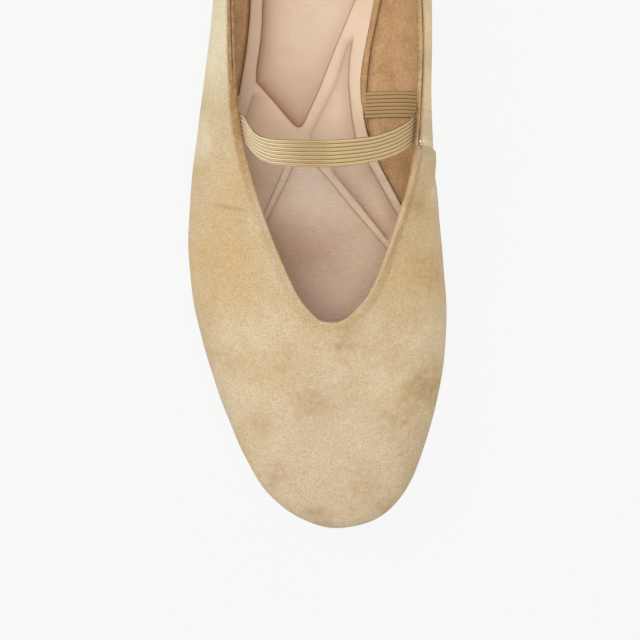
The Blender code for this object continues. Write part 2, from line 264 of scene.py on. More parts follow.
@dataclass(frozen=True)
class Last:
    """Form that the shoe is made on, worked out from its main sizes.

    A point of the shell is given by its turn around the shoe and its level: 0 at the lower edge,
    1 at the widest line and 2 at the collar.
    """

    length: float = 0.250
    ball_width: float = 0.0836
    instep_height: float = 0.040
    heel_height: float = 0.007
    toe_spring: float = 0.007
    sole_thickness: float = 0.003
    insole_thickness: float = 0.0025
    clearance: float = 0.0003
    wall: float = 0.0016
    fill_rise: float = 0.010
    flare: float = 1.7
    tread_front: float = 0.27
    tread_back: float = 0.44
    seat_front: float = 0.74
    plain_edge: float = 0.15 * MM
    corner_turns: int = 241
    corner_levels: int = 31
    fine_levels: int = 161
    outline_x: LoopCurve = field(default_factory=lambda: LoopCurve.around(OUTLINE, "outer", "inner"))
    inset: LoopCurve = field(default_factory=lambda: LoopCurve.around(FEATHER_INSET, "outer", "inner"))
    widest: LoopCurve = field(default_factory=lambda: LoopCurve.around(WIDEST_HEIGHT, "outer", "inner"))
    collar_along: LoopCurve = field(
        default_factory=lambda: LoopCurve.around(COLLAR, "outer_along", "inner_along"))
    collar_x: LoopCurve = field(default_factory=lambda: LoopCurve.around(COLLAR, "outer_x", "inner_x"))
    collar_height: LoopCurve = field(default_factory=lambda: LoopCurve.around(COLLAR, "height", "height"))
    lean: LoopCurve = field(default_factory=lambda: LoopCurve.around(LEAN, "outer", "inner"))
    reach: LoopCurve = field(default_factory=lambda: LoopCurve.around(LEAN, "reach", "reach"))

    def sole_bottom(self, y: np.ndarray) -> np.ndarray:
        """Height of the outsole's underside at places along Y.

        Args:
            y: places along the shoe.

        Returns:
            Heights above the floor.
        """
        share = np.asarray(y) / self.length + 0.5
        spring = self.toe_spring * np.clip(1.0 - share / self.tread_front, 0.0, None) ** 2
        rise = self.heel_height * ease((share - self.tread_back) / (self.seat_front - self.tread_back))
        return spring + rise

    def sole_top(self, y: np.ndarray) -> np.ndarray:
        """Height of the outsole's top."""
        return self.sole_bottom(y) + self.sole_thickness

    def insole_top(self, y: np.ndarray) -> np.ndarray:
        """Height of the footbed's top."""
        return self.sole_top(y) + self.clearance + self.insole_thickness

    def outline_point(self, turn: np.ndarray) -> np.ndarray:
        """Widest outline seen from above."""
        turn = np.asarray(turn, dtype=float)
        return np.stack((self.outline_x(turn) * self.ball_width, -self.length * np.cos(turn) / 2.0), axis=-1)

    def inward(self, turn: np.ndarray) -> np.ndarray:
        """Unit vectors from the outline towards the inside, seen from above.

        Args:
            turn: turns around the shoe.

        Returns:
            Vectors with X and Y in the last axis.
        """
        small = 0.002
        along = unit(self.outline_point(turn + small) - self.outline_point(turn - small))
        return np.stack((-along[..., 1], along[..., 0]), axis=-1)

    def feather_point(self, turn: np.ndarray) -> np.ndarray:
        """Lower edge of the upper seen from above."""
        shift = self.inset(turn)[..., None] * self.ball_width
        return self.outline_point(turn) + self.inward(turn) * shift

    def surface(self, turn: np.ndarray, level: np.ndarray) -> np.ndarray:
        """Outside of the shell.

        Args:
            turn: turns around the shoe.
            level: levels of the same shape.

        Returns:
            Points with X, Y and Z in the last axis.
        """
        foot = self.feather_point(turn)
        wide = self.outline_point(turn)
        floor = self.sole_top(foot[..., 1])
        widest = floor + self.widest(turn) * self.instep_height
        low = np.clip(level, 0.0, 1.0)
        swing = (1.0 - (1.0 - low) ** self.flare)[..., None]
        flat_low = foot + (wide - foot) * swing
        base = floor + self.clearance
        collar = np.stack((self.collar_x(turn) * self.ball_width,
                           (self.collar_along(turn) - 0.5) * self.length), axis=-1)
        top = self.sole_top(collar[..., 1]) + self.collar_height(turn) * self.instep_height
        span = np.linalg.norm(collar - wide, axis=-1)
        rise = top - widest
        slope = np.radians(self.lean(turn))
        hold = self.reach(turn) * np.hypot(span, rise)
        amount = np.clip(level - 1.0, 0.0, 1.0)
        nothing = np.zeros_like(span)
        inwards = bezier(nothing, nothing, span - hold * np.cos(slope), span, amount)
        upwards = bezier(nothing, rise / 2.0, rise - hold * np.sin(slope), rise, amount)
        flat_high = wide + (collar - wide) * (inwards / span)[..., None]
        upper = level > 1.0
        flat = np.where(upper[..., None], flat_high, flat_low)
        height = np.where(upper, widest + upwards, base + (widest - base) * low)
        return np.concatenate((flat, height[..., None]), axis=-1)

    def frames(self, turn: np.ndarray, level: np.ndarray) -> tuple[np.ndarray, np.ndarray, np.ndarray]:
        """Outward normals, upward tangents and onward tangents of the shell.

        Args:
            turn: turns around the shoe.
            level: levels of the same shape.

        Returns:
            The three fields of unit vectors.
        """
        small = 0.004
        low = np.maximum(level - small, 0.0)
        high = np.minimum(level + small, 2.0)
        upward = unit(self.surface(turn, high) - self.surface(turn, low))
        onward = unit(self.surface(turn + small, level) - self.surface(turn - small, level))
        return unit(np.cross(onward, upward)), upward, onward

    def shell(self, turn: np.ndarray, level: np.ndarray, depth: np.ndarray | float) -> np.ndarray:
        """Points a depth under the outside, kept level with the sole at the lower edge.

        Args:
            turn: turns around the shoe.
            level: levels of the same shape.
            depth: distance inwards, negative outwards.

        Returns:
            Points with X, Y and Z in the last axis.
        """
        normal, upward, _ = self.frames(turn, level)
        surface = self.surface(turn, level)
        point = surface - normal * np.asarray(depth * np.ones_like(level))[..., None]
        slide = (surface[..., 2] - point[..., 2]) / np.maximum(upward[..., 2], 0.2)
        seated = np.where(level <= 0.0, slide, 0.0)
        return point + upward * seated[..., None]

    @cached_property
    def corner(self) -> tuple[np.ndarray, np.ndarray, np.ndarray]:
        """Corner between the lining and the footbed.

        Returns:
            Turns all round, how far the lining's foot stands beyond the wall's and how far it is
            filled inwards.
        """
        turns = np.linspace(-math.pi, math.pi, self.corner_turns)
        levels = np.linspace(0.0, 1.2, self.corner_levels)
        points = self.shell(turns[:, None] + 0.0 * levels, levels + 0.0 * turns[:, None], self.wall)
        above = points[..., 2] - self.insole_top(points[..., 1])
        outwards = -np.sum((points[..., :2] - points[:, :1, :2]) * self.inward(turns)[:, None], axis=-1)
        gap = np.array([np.interp(0.0, above[index], outwards[index]) for index in range(len(turns))])
        share = share_at(turns)
        edge = np.interp(share, [row.share for row in STRIP], [row.outer for row in STRIP],
                         left=self.plain_edge)
        beyond = np.where(turns > 0.0, edge, self.plain_edge) - self.clearance
        return turns, beyond, np.maximum(gap - beyond, 0.0)

    def inside(self, turn: np.ndarray, level: np.ndarray, depth: np.ndarray | float) -> np.ndarray:
        """Points a depth under the outside, filled inwards at the foot so that they meet the footbed.

        Args:
            turn: turns around the shoe.
            level: levels of the same shape.
            depth: distance inwards.

        Returns:
            Points with X, Y and Z in the last axis.
        """
        point = self.shell(turn, level, depth)
        turns, beyond, fill = self.corner
        lap = (turn + math.pi) % TAU - math.pi
        foot = self.shell(turn, np.zeros_like(point[..., 2]), self.wall)
        inward = self.inward(turn)
        outwards = -np.sum((point[..., :2] - foot[..., :2]) * inward, axis=-1)
        rise = (point[..., 2] - self.insole_top(point[..., 1])) / self.fill_rise
        high = np.interp(lap, turns, fill) * (1.0 - np.clip(rise, 0.0, 1.0)) ** 2
        low = np.maximum(outwards - np.interp(lap, turns, beyond), 0.0)
        shift = np.where(rise > 0.0, high, low)
        point[..., :2] += inward * shift[..., None]
        return point

    def levels_below_collar(self, turns: np.ndarray, near: Sequence[float], rest: int) -> np.ndarray:
        """Levels at fixed distances under the collar, then evenly down to the lower edge.

        Args:
            turns: one turn for each column.
            near: distances from the collar along the surface, in metres.
            rest: number of further rows down to the lower edge.

        Returns:
            Levels, a row for each turn and from the collar downwards.
        """
        fine = np.linspace(2.0, 0.0, self.fine_levels)
        spread = self.surface(turns[:, None] + 0.0 * fine, fine + 0.0 * turns[:, None])
        hops = np.linalg.norm(np.diff(spread, axis=1), axis=-1)
        run = np.concatenate((np.zeros((len(turns), 1)), np.cumsum(hops, axis=1)), axis=1)
        levels = np.empty((len(turns), len(near) + rest))
        for index in range(len(turns)):
            further = near[-1] + (run[index, -1] - near[-1]) * np.linspace(0.0, 1.0, rest + 1)[1:]
            levels[index] = np.interp(np.concatenate((near, further)), run[index], fine)
            levels[index, -1] = 0.0
        return levels


class Wire:
    """Socket of a shader with arithmetic: an expression on wires adds its Math nodes."""

    def __init__(self, graph: "Graph", socket: bpy.types.NodeSocket) -> None:
        """Wraps an output socket."""
        self.graph = graph
        self.socket = socket

    def _math(self, operation: str, first: object, second: object) -> "Wire":
        """Adds a Math node on two values."""
        node = self.graph.node("ShaderNodeMath", {"operation": operation}, {0: first, 1: second})
        return Wire(self.graph, node.outputs[0])

    def __add__(self, other: object) -> "Wire":
        """Sum."""
        return self._math("ADD", self, other)

    __radd__ = __add__

    def __sub__(self, other: object) -> "Wire":
        """Difference."""
        return self._math("SUBTRACT", self, other)

    def __rsub__(self, other: object) -> "Wire":
        """Difference from a number."""
        return self._math("SUBTRACT", other, self)

    def __mul__(self, other: object) -> "Wire":
        """Product."""
        return self._math("MULTIPLY", self, other)

    __rmul__ = __mul__

    def __truediv__(self, other: object) -> "Wire":
        """Quotient."""
        return self._math("DIVIDE", self, other)

    def at_most(self, other: object) -> "Wire":
        """Smaller of two values."""
        return self._math("MINIMUM", self, other)

    def sine(self) -> "Wire":
        """Sine of the value."""
        return self._math("SINE", self, 0.0)

    def ramp(self, low: float, high: float) -> "Wire":
        """Smooth step from 0 at one value to 1 at another."""
        node = self.graph.node("ShaderNodeMapRange", {"interpolation_type": "SMOOTHSTEP"},
                               {"Value": self, "From Min": low, "From Max": high})
        return Wire(self.graph, node.outputs["Result"])


def capped_sum(masks: Sequence[Wire]) -> Wire:
    """Sum of masks, held at 1."""
    return sum(masks[1:], masks[0]).at_most(1.0)


Colour = tuple[float, float, float]


class Graph:
    """Node tree of one material."""

    def __init__(self, name: str) -> None:
        """Starts a material with a Principled shader."""
        self.material = bpy.data.materials.new(name)
        self.material.use_nodes = True
        self.tree = self.material.node_tree
        self.shader = self.tree.nodes["Principled BSDF"]

    def node(self, kind: str, settings: dict[str, object], inputs: dict[object, object]) -> bpy.types.Node:
        """Adds a node.

        Args:
            kind: type of the node.
            settings: properties, set first.
            inputs: values or wires by socket name or number.

        Returns:
            The node.
        """
        made = self.tree.nodes.new(kind)
        for name, value in settings.items():
            setattr(made, name, value)
        for name, value in inputs.items():
            self.feed(made.inputs[name], value)
        return made

    def feed(self, socket: bpy.types.NodeSocket, value: object) -> None:
        """Links a wire to a socket or sets its value.

        Args:
            socket: input of a node.
            value: wire, number, vector or colour.
        """
        if isinstance(value, Wire):
            self.tree.links.new(value.socket, socket)
        elif isinstance(value, tuple) and len(value) == 3 and socket.type == "RGBA":
            socket.default_value = (*value, 1.0)
        else:
            socket.default_value = value

    def place(self) -> Wire:
        """Object coordinates."""
        return Wire(self, self.node("ShaderNodeTexCoord", {}, {}).outputs["Object"])

    def split(self, vector: Wire) -> tuple[Wire, Wire]:
        """First two parts of a vector."""
        made = self.node("ShaderNodeSeparateXYZ", {}, {0: vector})
        return Wire(self, made.outputs[0]), Wire(self, made.outputs[1])

    def uv(self) -> tuple[Wire, Wire]:
        """Both coordinates of the piece's own map."""
        return self.split(Wire(self, self.node("ShaderNodeTexCoord", {}, {}).outputs["UV"]))

    def attribute(self, name: str) -> Wire:
        """Value stored at the piece's corners."""
        made = self.node("ShaderNodeAttribute", {"attribute_name": name}, {})
        return Wire(self, made.outputs["Fac"])

    def vector(self, operation: str, first: object, second: object) -> Wire:
        """Vector Math on two vectors.

        Args:
            operation: the node's operation.
            first: first vector.
            second: second vector.

        Returns:
            The result, which is a number for a distance.
        """
        made = self.node("ShaderNodeVectorMath", {"operation": operation}, {0: first, 1: second})
        output = "Value" if operation == "DISTANCE" else "Vector"
        return Wire(self, made.outputs[output])

    def noise(self, scale: float, detail: float = 2.0, rough: float = 0.5, where: Wire | None = None,
              warp: float = 0.0) -> Wire:
        """Noise value of a given scale, in cycles to the metre."""
        made = self.node("ShaderNodeTexNoise", {}, {
            "Vector": where or self.place(), "Scale": scale, "Detail": detail,
            "Roughness": rough, "Distortion": warp})
        return Wire(self, made.outputs["Fac"])

    def noise_vector(self, scale: float, where: Wire) -> Wire:
        """Noise as a vector."""
        made = self.node("ShaderNodeTexNoise", {}, {"Vector": where, "Scale": scale, "Detail": 2.0})
        return Wire(self, made.outputs["Color"])

    def mix(self, amount: object, first: object, second: object, blend: str = "MIX") -> Wire:
        """Mix of two colours."""
        made = self.node("ShaderNodeMix", {"data_type": "RGBA", "blend_type": blend},
                         {0: amount, 6: first, 7: second})
        return Wire(self, made.outputs[2])

    def toned(self, colour: object, tone: Wire) -> Wire:
        """Colour multiplied by a value."""
        grey = self.node("ShaderNodeCombineColor", {}, {0: tone, 1: tone, 2: tone})
        return self.mix(1.0, colour, Wire(self, grey.outputs[0]), "MULTIPLY")

    def bump(self, height: Wire, distance: float, strength: float = 1.0, under: Wire | None = None) -> Wire:
        """Bump of a height, over another bump.

        Args:
            height: the height.
            distance: its depth in metres.
            strength: share of it that shows.
            under: normal of the bump below, if there is one.

        Returns:
            The normal.
        """
        inputs: dict[object, object] = {"Height": height, "Distance": distance, "Strength": strength}
        if under is not None:
            inputs["Normal"] = under
        return Wire(self, self.node("ShaderNodeBump", {}, inputs).outputs["Normal"])

    def finish(self, **inputs: object) -> bpy.types.Material:
        """Feeds the Principled shader by socket name, with spaces as underscores.

        Args:
            inputs: wires or values.

        Returns:
            The material.
        """
        for name, value in inputs.items():
            self.feed(self.shader.inputs[name.replace("_", " ").title().replace("Ior", "IOR")], value)
        return self.material


def srgb(red: float, green: float, blue: float) -> Colour:
    """Linear colour from screen values of 0 to 255.

    Args:
        red: red value.
        green: green value.
        blue: blue value.

    Returns:
        The colour.
    """
    def linear(value: float) -> float:
        """One channel."""
        share = value / 255.0
        return share / 12.92 if share <= 0.04045 else ((share + 0.055) / 1.055) ** 2.4
    return (linear(red), linear(green), linear(blue))


class Blotch(NamedTuple):
    """Soft mark on the suede, by its place seen from above, in millimetres from the toe tip and middle."""

    x: float
    along: float
    radius: float
    strength: float


class Scratch(NamedTuple):
    """Thin line on the suede between two places, in millimetres from the middle and the toe tip."""

    x: float
    along: float
    end_x: float
    end_along: float
    width: float
    strength: float


SCRATCHES = (
    Scratch(-34.5, 103.8, -21.5, 101.4, 0.8, 0.30), Scratch(-27.0, 98.8, -20.8, 98.3, 0.7, 0.14),
)


BLOTCHES = (
    Blotch(9.2, 60.8, 6.5, 0.52), Blotch(-10.2, 54.0, 5.0, 0.34), Blotch(-28.8, 55.0, 6.0, 0.30),
    Blotch(18.8, 53.4, 7.0, 0.30), Blotch(34.6, 45.0, 9.5, 0.66), Blotch(25.0, 33.8, 7.0, 0.46),
    Blotch(-4.0, 40.2, 9.0, 0.42), Blotch(5.5, 43.0, 8.0, 0.26), Blotch(-19.5, 33.8, 6.5, 0.36),
    Blotch(13.4, 13.8, 8.0, 0.46), Blotch(-14.4, 16.0, 6.5, 0.40), Blotch(0.5, 4.5, 6.0, 0.44),
    Blotch(22.4, 7.5, 4.0, 0.50), Blotch(-37.0, 82.0, 10.0, 0.18), Blotch(34.0, 84.0, 9.0, 0.34),
    Blotch(31.5, 104.0, 6.0, 0.46), Blotch(30.0, 72.0, 12.0, 0.20),
)


class Tint(NamedTuple):
    """Colour laid over soft spots of the suede: some tints are its own tone, others painted light and shade.
    """

    colour: Colour
    amount: float
    spots: tuple[Blotch, ...]


TINTS = (
    # Darker, warmer sides of the vamp: a warmer tone of the suede with painted shade.
    Tint(srgb(220, 182, 126), 0.75, (
        Blotch(-30.0, 84.0, 26.0, 0.9), Blotch(-27.0, 112.0, 18.0, 0.7), Blotch(31.0, 84.0, 22.0, 0.9),
        Blotch(31.0, 106.0, 16.0, 0.9))),
    Tint(srgb(222, 198, 166), 0.80, (Blotch(2.0, 18.0, 34.0, 1.0), Blotch(2.0, 40.0, 30.0, 0.6))),
    # Painted highlight: pale cream on the upper outer wall and a spot on the inner side.
    Tint(srgb(246, 232, 198), 0.90, (
        Blotch(-39.0, 150.0, 20.0, 1.0), Blotch(-39.5, 126.0, 11.0, 0.8), Blotch(41.0, 108.0, 8.0, 0.5),
        Blotch(-36.0, 166.0, 24.0, 1.0))),
    # Painted shade: the toe darker towards its inner side.
    Tint(srgb(192, 166, 132), 0.34, (Blotch(32.0, 22.0, 22.0, 1.0),)),
    # Painted light, with a warmer tone: the inner side's quarter brighter.
    Tint(srgb(255, 223, 175), 0.94, (Blotch(36.0, 140.0, 14.0, 1.0), Blotch(34.0, 160.0, 14.0, 1.0))),
)


@dataclass(frozen=True)
class SuedeFinish:
    """Napped suede: clouds, speckle, scratches, tints of painted light and shade, edges darker from wear and
    painted shade.
    """

    half_length: float
    name: str = "sand_suede"
    light: Colour = srgb(230, 208, 172)
    body: Colour = srgb(221, 196, 154)
    mark: Colour = srgb(178, 143, 92)
    # Colour of the scratches and of the darker edge band, which is wear and painted shade.
    rubbed: Colour = srgb(170, 127, 78)
    pale: Colour = srgb(248, 236, 200)
    # Dark colour of the flecks and of the painted shade on the groove line and the lip.
    fold: Colour = srgb(112, 76, 40)
    marks: tuple[Blotch, ...] = BLOTCHES
    scratches: tuple[Scratch, ...] = SCRATCHES
    spread: float = 1.45
    tints: tuple[Tint, ...] = TINTS
    scratch_fade: float = 2.5
    nap_depth: float = 0.50 * MM

    def scratch(self, graph: Graph, place: Wire) -> Wire:
        """Mask of the thin lines.

        Args:
            graph: material that is being made.
            place: place on the shoe.

        Returns:
            Mask of 0 to 1.
        """
        x, y = graph.split(place)
        y = y + (graph.noise(120.0, 2.0, 0.5, place) - 0.5) * 0.002
        masks = []
        for item in self.scratches:
            slope = (item.end_along - item.along) / (item.end_x - item.x)
            off = y - (item.along - self.half_length) * MM - (x - item.x * MM) * slope
            ends = x.ramp(item.x * MM, (item.x + self.scratch_fade) * MM)
            ends = ends * x.ramp(item.end_x * MM, (item.end_x - self.scratch_fade) * MM)
            masks.append((off * off).ramp((item.width * MM) ** 2, 0.0) * ends * item.strength)
        return capped_sum(masks)

    def zone(self, graph: Graph, where: Wire, spots: Sequence[Blotch], spread: float = 1.0) -> Wire:
        """Sum of soft round spots.

        Args:
            graph: material that is being made.
            where: place on the shoe, flattened and warped.
            spots: the spots.
            spread: factor on their radii.

        Returns:
            Mask of 0 to 1.
        """
        masks = []
        for spot in spots:
            centre = (spot.x * MM, (spot.along - self.half_length) * MM, 0.0)
            far = graph.vector("DISTANCE", where, centre)
            masks.append(far.ramp(spot.radius * spread * MM, 0.0) * spot.strength)
        return capped_sum(masks)

    def make(self) -> bpy.types.Material:
        """Builds the material.

        Returns:
            The material.
        """
        graph = Graph(self.name)
        place = graph.place()
        flat = graph.vector("MULTIPLY", place, (1.0, 1.0, 0.0))
        shake = graph.vector("SUBTRACT", graph.noise_vector(140.0, place), (0.5, 0.5, 0.5))
        warped = graph.vector("ADD", flat, graph.vector("MULTIPLY", shake, (0.012, 0.012, 0.0)))
        clouds = graph.noise(75.0, 4.0, 0.6, place, 0.4).ramp(0.34, 0.66)
        base = graph.mix(clouds, self.body, self.light)
        for tint in self.tints:
            amount = self.zone(graph, warped, tint.spots) * tint.amount
            base = graph.mix(amount, base, tint.colour)
        patchy = graph.noise(400.0, 4.0, 0.65, place)
        grain = graph.noise(1900.0, 3.0, 0.7, place).ramp(0.30, 0.70)
        soft_grain = graph.noise(620.0, 2.0, 0.6, place).ramp(0.30, 0.70)
        speck = (patchy - 0.5) * 1.2 + (grain - 0.5) * 0.40
        marks = (self.zone(graph, warped, self.marks, self.spread) + speck).ramp(0.05, 1.05)
        base = graph.mix(marks * 0.84, base, self.mark)
        base = graph.mix(self.scratch(graph, place), base, self.rubbed)
        fleck = graph.noise(1150.0, 1.0, 0.5, place).ramp(0.70, 0.76)
        tone = 0.775 + 0.34 * grain + 0.06 * soft_grain
        base = graph.toned(base, tone)
        base = graph.mix(fleck * 0.16, base, self.fold)
        base = graph.mix(graph.attribute("pale"), base, self.pale)
        # Edge band darkened by wear and by painted shade, with the band's shadow on the inner lip.
        rub = graph.attribute("rub") * (0.74 + 0.36 * patchy.ramp(0.34, 0.62)) * (1.25 - 0.50 * grain)
        base = graph.mix(rub.at_most(1.0), base, self.rubbed)
        # Painted shade: the groove line beside the collar edge and the lip.
        base = graph.mix(graph.attribute("shade"), base, self.fold)
        nap = graph.noise(1100.0, 4.0, 0.7, place)
        lump = graph.noise(240.0, 2.0, 0.5, place)
        normal = graph.bump(nap, self.nap_depth, 0.8)
        normal = graph.bump(lump, 0.0005, 0.6, normal)
        return graph.finish(
            base_color=base, roughness=0.92 + 0.06 * grain, normal=normal, specular_ior_level=0.10,
            sheen_weight=0.12, sheen_roughness=0.45, sheen_tint=(1.0, 0.90, 0.72))


@dataclass(frozen=True)
class LiningFinish:
    """Brown napped lining of the walls."""

    name: str = "tan_lining"
    light: Colour = srgb(222, 182, 136)
    dark: Colour = srgb(202, 160, 114)
    pale: Colour = srgb(234, 208, 162)
    # Colour of the painted shade.
    deep: Colour = srgb(84, 54, 28)

    def make(self) -> bpy.types.Material:
        """Builds the material.

        Returns:
            The material.
        """
        graph = Graph(self.name)
        place = graph.place()
        clouds = graph.noise(120.0, 3.0, 0.6, place).ramp(0.32, 0.68)
        base = graph.mix(clouds, self.dark, self.light)
        grain = graph.noise(1500.0, 3.0, 0.7, place).ramp(0.30, 0.70)
        fleck = graph.noise(1250.0, 1.0, 0.5, place).ramp(0.62, 0.72)
        base = graph.mix(fleck * 0.45, base, self.pale)
        tone = 0.76 + 0.30 * grain
        base = graph.toned(base, tone)
        # Painted shade: contact lines at the footbed, shadows under the lip and at the band's ends, and the
        # strip's darker edges.
        base = graph.mix(graph.attribute("shade"), base, self.deep)
        normal = graph.bump(graph.noise(1000.0, 4.0, 0.7, place), 0.0004, 0.7)
        return graph.finish(base_color=base, roughness=0.93 + 0.05 * grain, normal=normal,
                            specular_ior_level=0.15, sheen_weight=0.15, sheen_roughness=0.5,
                            sheen_tint=(1.0, 0.88, 0.7))


@dataclass(frozen=True)
class FootbedFinish:
    """Smooth pink beige leather with a fine grain, fine forefoot wrinkles, a few dots, painted shade and
    painted highlights.
    """

    name: str = "footbed_leather"
    light: Colour = srgb(246, 222, 195)
    body: Colour = srgb(239, 211, 181)
    rubbed: Colour = srgb(224, 188, 155)
    # Colour of the painted shade in the relief and in the wrinkles.
    groove: Colour = srgb(146, 75, 31)
    # Colour of the painted highlights.
    shine: Colour = srgb(255, 236, 212)
    dot: Colour = srgb(150, 104, 74)
    forefoot: float = -0.004
    wrinkled: float = -0.014

    def make(self) -> bpy.types.Material:
        """Builds the material.

        Returns:
            The material.
        """
        graph = Graph(self.name)
        place = graph.place()
        front = graph.split(place)[1].ramp(self.forefoot, self.wrinkled)
        clouds = graph.noise(38.0, 3.0, 0.5, place).ramp(0.34, 0.66)
        base = graph.mix(clouds, self.body, self.light)
        wear = graph.noise(90.0, 3.0, 0.6, place).ramp(0.50, 0.78)
        base = graph.mix(wear * 0.35, base, self.rubbed)
        spots = graph.noise(900.0, 0.0, 0.4, place).ramp(0.86, 0.87)
        base = graph.mix(spots * 0.6, base, self.dot)
        # Painted highlight before the ball field.
        gleam = graph.attribute("gleam")
        base = graph.mix(gleam, base, self.shine)
        stretched = graph.vector("MULTIPLY", place, (1.0, 2.8, 1.0))
        wrinkle = graph.noise(520.0, 3.0, 0.65, stretched, 0.8)
        # Painted shade in the wrinkles' troughs and painted glints on their crests.
        base = graph.mix(wrinkle.ramp(0.50, 0.30) * front * 0.07, base, self.groove)
        base = graph.mix(wrinkle.ramp(0.47, 0.68) * front * 0.42, base, self.shine)
        # Painted shade of the relief, of the outer wall and of the rim.
        base = graph.mix(graph.attribute("shade"), base, self.groove)
        cells = graph.node("ShaderNodeTexVoronoi", {"feature": "DISTANCE_TO_EDGE"},
                           {"Vector": place, "Scale": 1900.0})
        grain = Wire(graph, cells.outputs["Distance"]).ramp(0.0, 0.22)
        normal = graph.bump(grain, 0.00006, 0.5)
        normal = graph.bump(graph.noise(700.0, 3.0, 0.6, place), 0.00012, 0.5, normal)
        normal = graph.bump(wrinkle * front, 0.0008, 0.7, normal)
        return graph.finish(base_color=base, roughness=0.46 + 0.12 * clouds - 0.12 * gleam - 0.06 * front,
                            normal=normal, specular_ior_level=0.40, coat_weight=0.05 + 0.05 * wear)


@dataclass(frozen=True)
class ElasticFinish:
    """Woven elastic: pale ribs along the band, painted shade in the valleys between them, fine weft threads,
    painted light and shade along it.
    """

    ribs: int
    name: str = "ribbed_elastic"
    rib: Colour = srgb(228, 200, 149)
    valley: Colour = srgb(108, 74, 36)
    pitch: float = 0.46 * MM
    # Colour of the painted shade on the band's inner end.
    painted_tail_shade: Colour = srgb(180, 138, 90)
    # Colour of the painted light on the outer part of the band.
    painted_highlight: Colour = srgb(248, 229, 192)
    free_from: float = 24.0 * MM
    free_to: float = 78.0 * MM
    free_fade: float = 6.0 * MM
    bright_from: float = 34.0 * MM
    bright_to: float = 64.0 * MM
    tail_from: float = 112.0 * MM

    def make(self) -> bpy.types.Material:
        """Builds the material. The map's first coordinate runs along the band in metres.

        Returns:
            The material.
        """
        graph = Graph(self.name)
        along, across = graph.uv()
        crest = graph.attribute("rib")
        weft = (along * (TAU / self.pitch)).sine()
        slant = ((along / self.pitch + across * 32.0) * TAU).sine()
        fuzz = graph.noise(1400.0, 3.0, 0.6)
        patch = graph.noise(260.0, 2.0, 0.5)
        long_run = graph.node("ShaderNodeCombineXYZ", {}, {0: along * 40.0, 1: across * 22.0, 2: 0.0})
        streak = graph.noise(1.0, 2.0, 0.5, Wire(graph, long_run.outputs[0]))
        free = along.ramp(self.free_from, self.free_from + self.free_fade)
        free = free * along.ramp(self.free_to, self.free_to - self.free_fade)
        middle = (across * (TAU * self.ribs) + TAU / 4.0).sine()
        second = (0.0 - middle).ramp(0.45, 0.95) * (0.20 + 0.65 * free) * (0.5 + streak)
        valley = (crest + (fuzz - 0.5) * 0.25).ramp(0.70, 0.25)
        # Painted light on the outer part of the band, and painted shade from its middle on.
        bright = along.ramp(self.bright_from, self.bright_from + 0.008)
        bright = bright * along.ramp(self.bright_to + 0.006, self.bright_to - 0.010)
        held = along.ramp(self.bright_to - 0.008, self.bright_to + 0.006)
        tone = 0.85 + 0.02 * slant * crest + 0.14 * fuzz + 0.20 * streak + 0.10 * bright - 0.15 * held
        thread = graph.mix(bright * 0.70, self.rib, self.painted_highlight)
        base = graph.toned(thread, tone)
        # Painted shade on the inner end, down the wall.
        base = graph.mix(along.ramp(self.tail_from - 0.006, self.tail_from + 0.004) * 0.40, base, self.painted_tail_shade)
        # Painted shade in the valleys between the ribs, with a finer second weave line.
        dark = (valley * (0.66 + 0.30 * patch) + second * 0.7).at_most(0.88)
        base = graph.mix(dark, base, self.valley)
        normal = graph.bump(weft * 0.5 + slant * 0.5, 0.00006, 0.6)
        normal = graph.bump(fuzz, 0.0001, 0.4, normal)
        return graph.finish(base_color=base, roughness=0.78 + 0.1 * fuzz, normal=normal,
                            specular_ior_level=0.2, sheen_weight=0.12, sheen_roughness=0.4)


@dataclass(frozen=True)
class PlainFinish:
    """Rubber, thread and stacked heel: one colour with a little grain."""

    name: str
    colour: Colour
    dark: Colour
    roughness: float
    grain: float
    depth: float

    def make(self) -> bpy.types.Material:
        """Builds the material.

        Returns:
            The material.
        """
        graph = Graph(self.name)
        place = graph.place()
        clouds = graph.noise(160.0, 4.0, 0.6, place).ramp(0.3, 0.7)
        base = graph.mix(clouds * 0.6, self.colour, self.dark)
        fine = graph.noise(self.grain, 3.0, 0.6, place)
        normal = graph.bump(fine, self.depth, 0.6)
        return graph.finish(base_color=base, roughness=self.roughness + 0.1 * fine, normal=normal,
                            specular_ior_level=0.3)


Values = dict[str, np.ndarray]


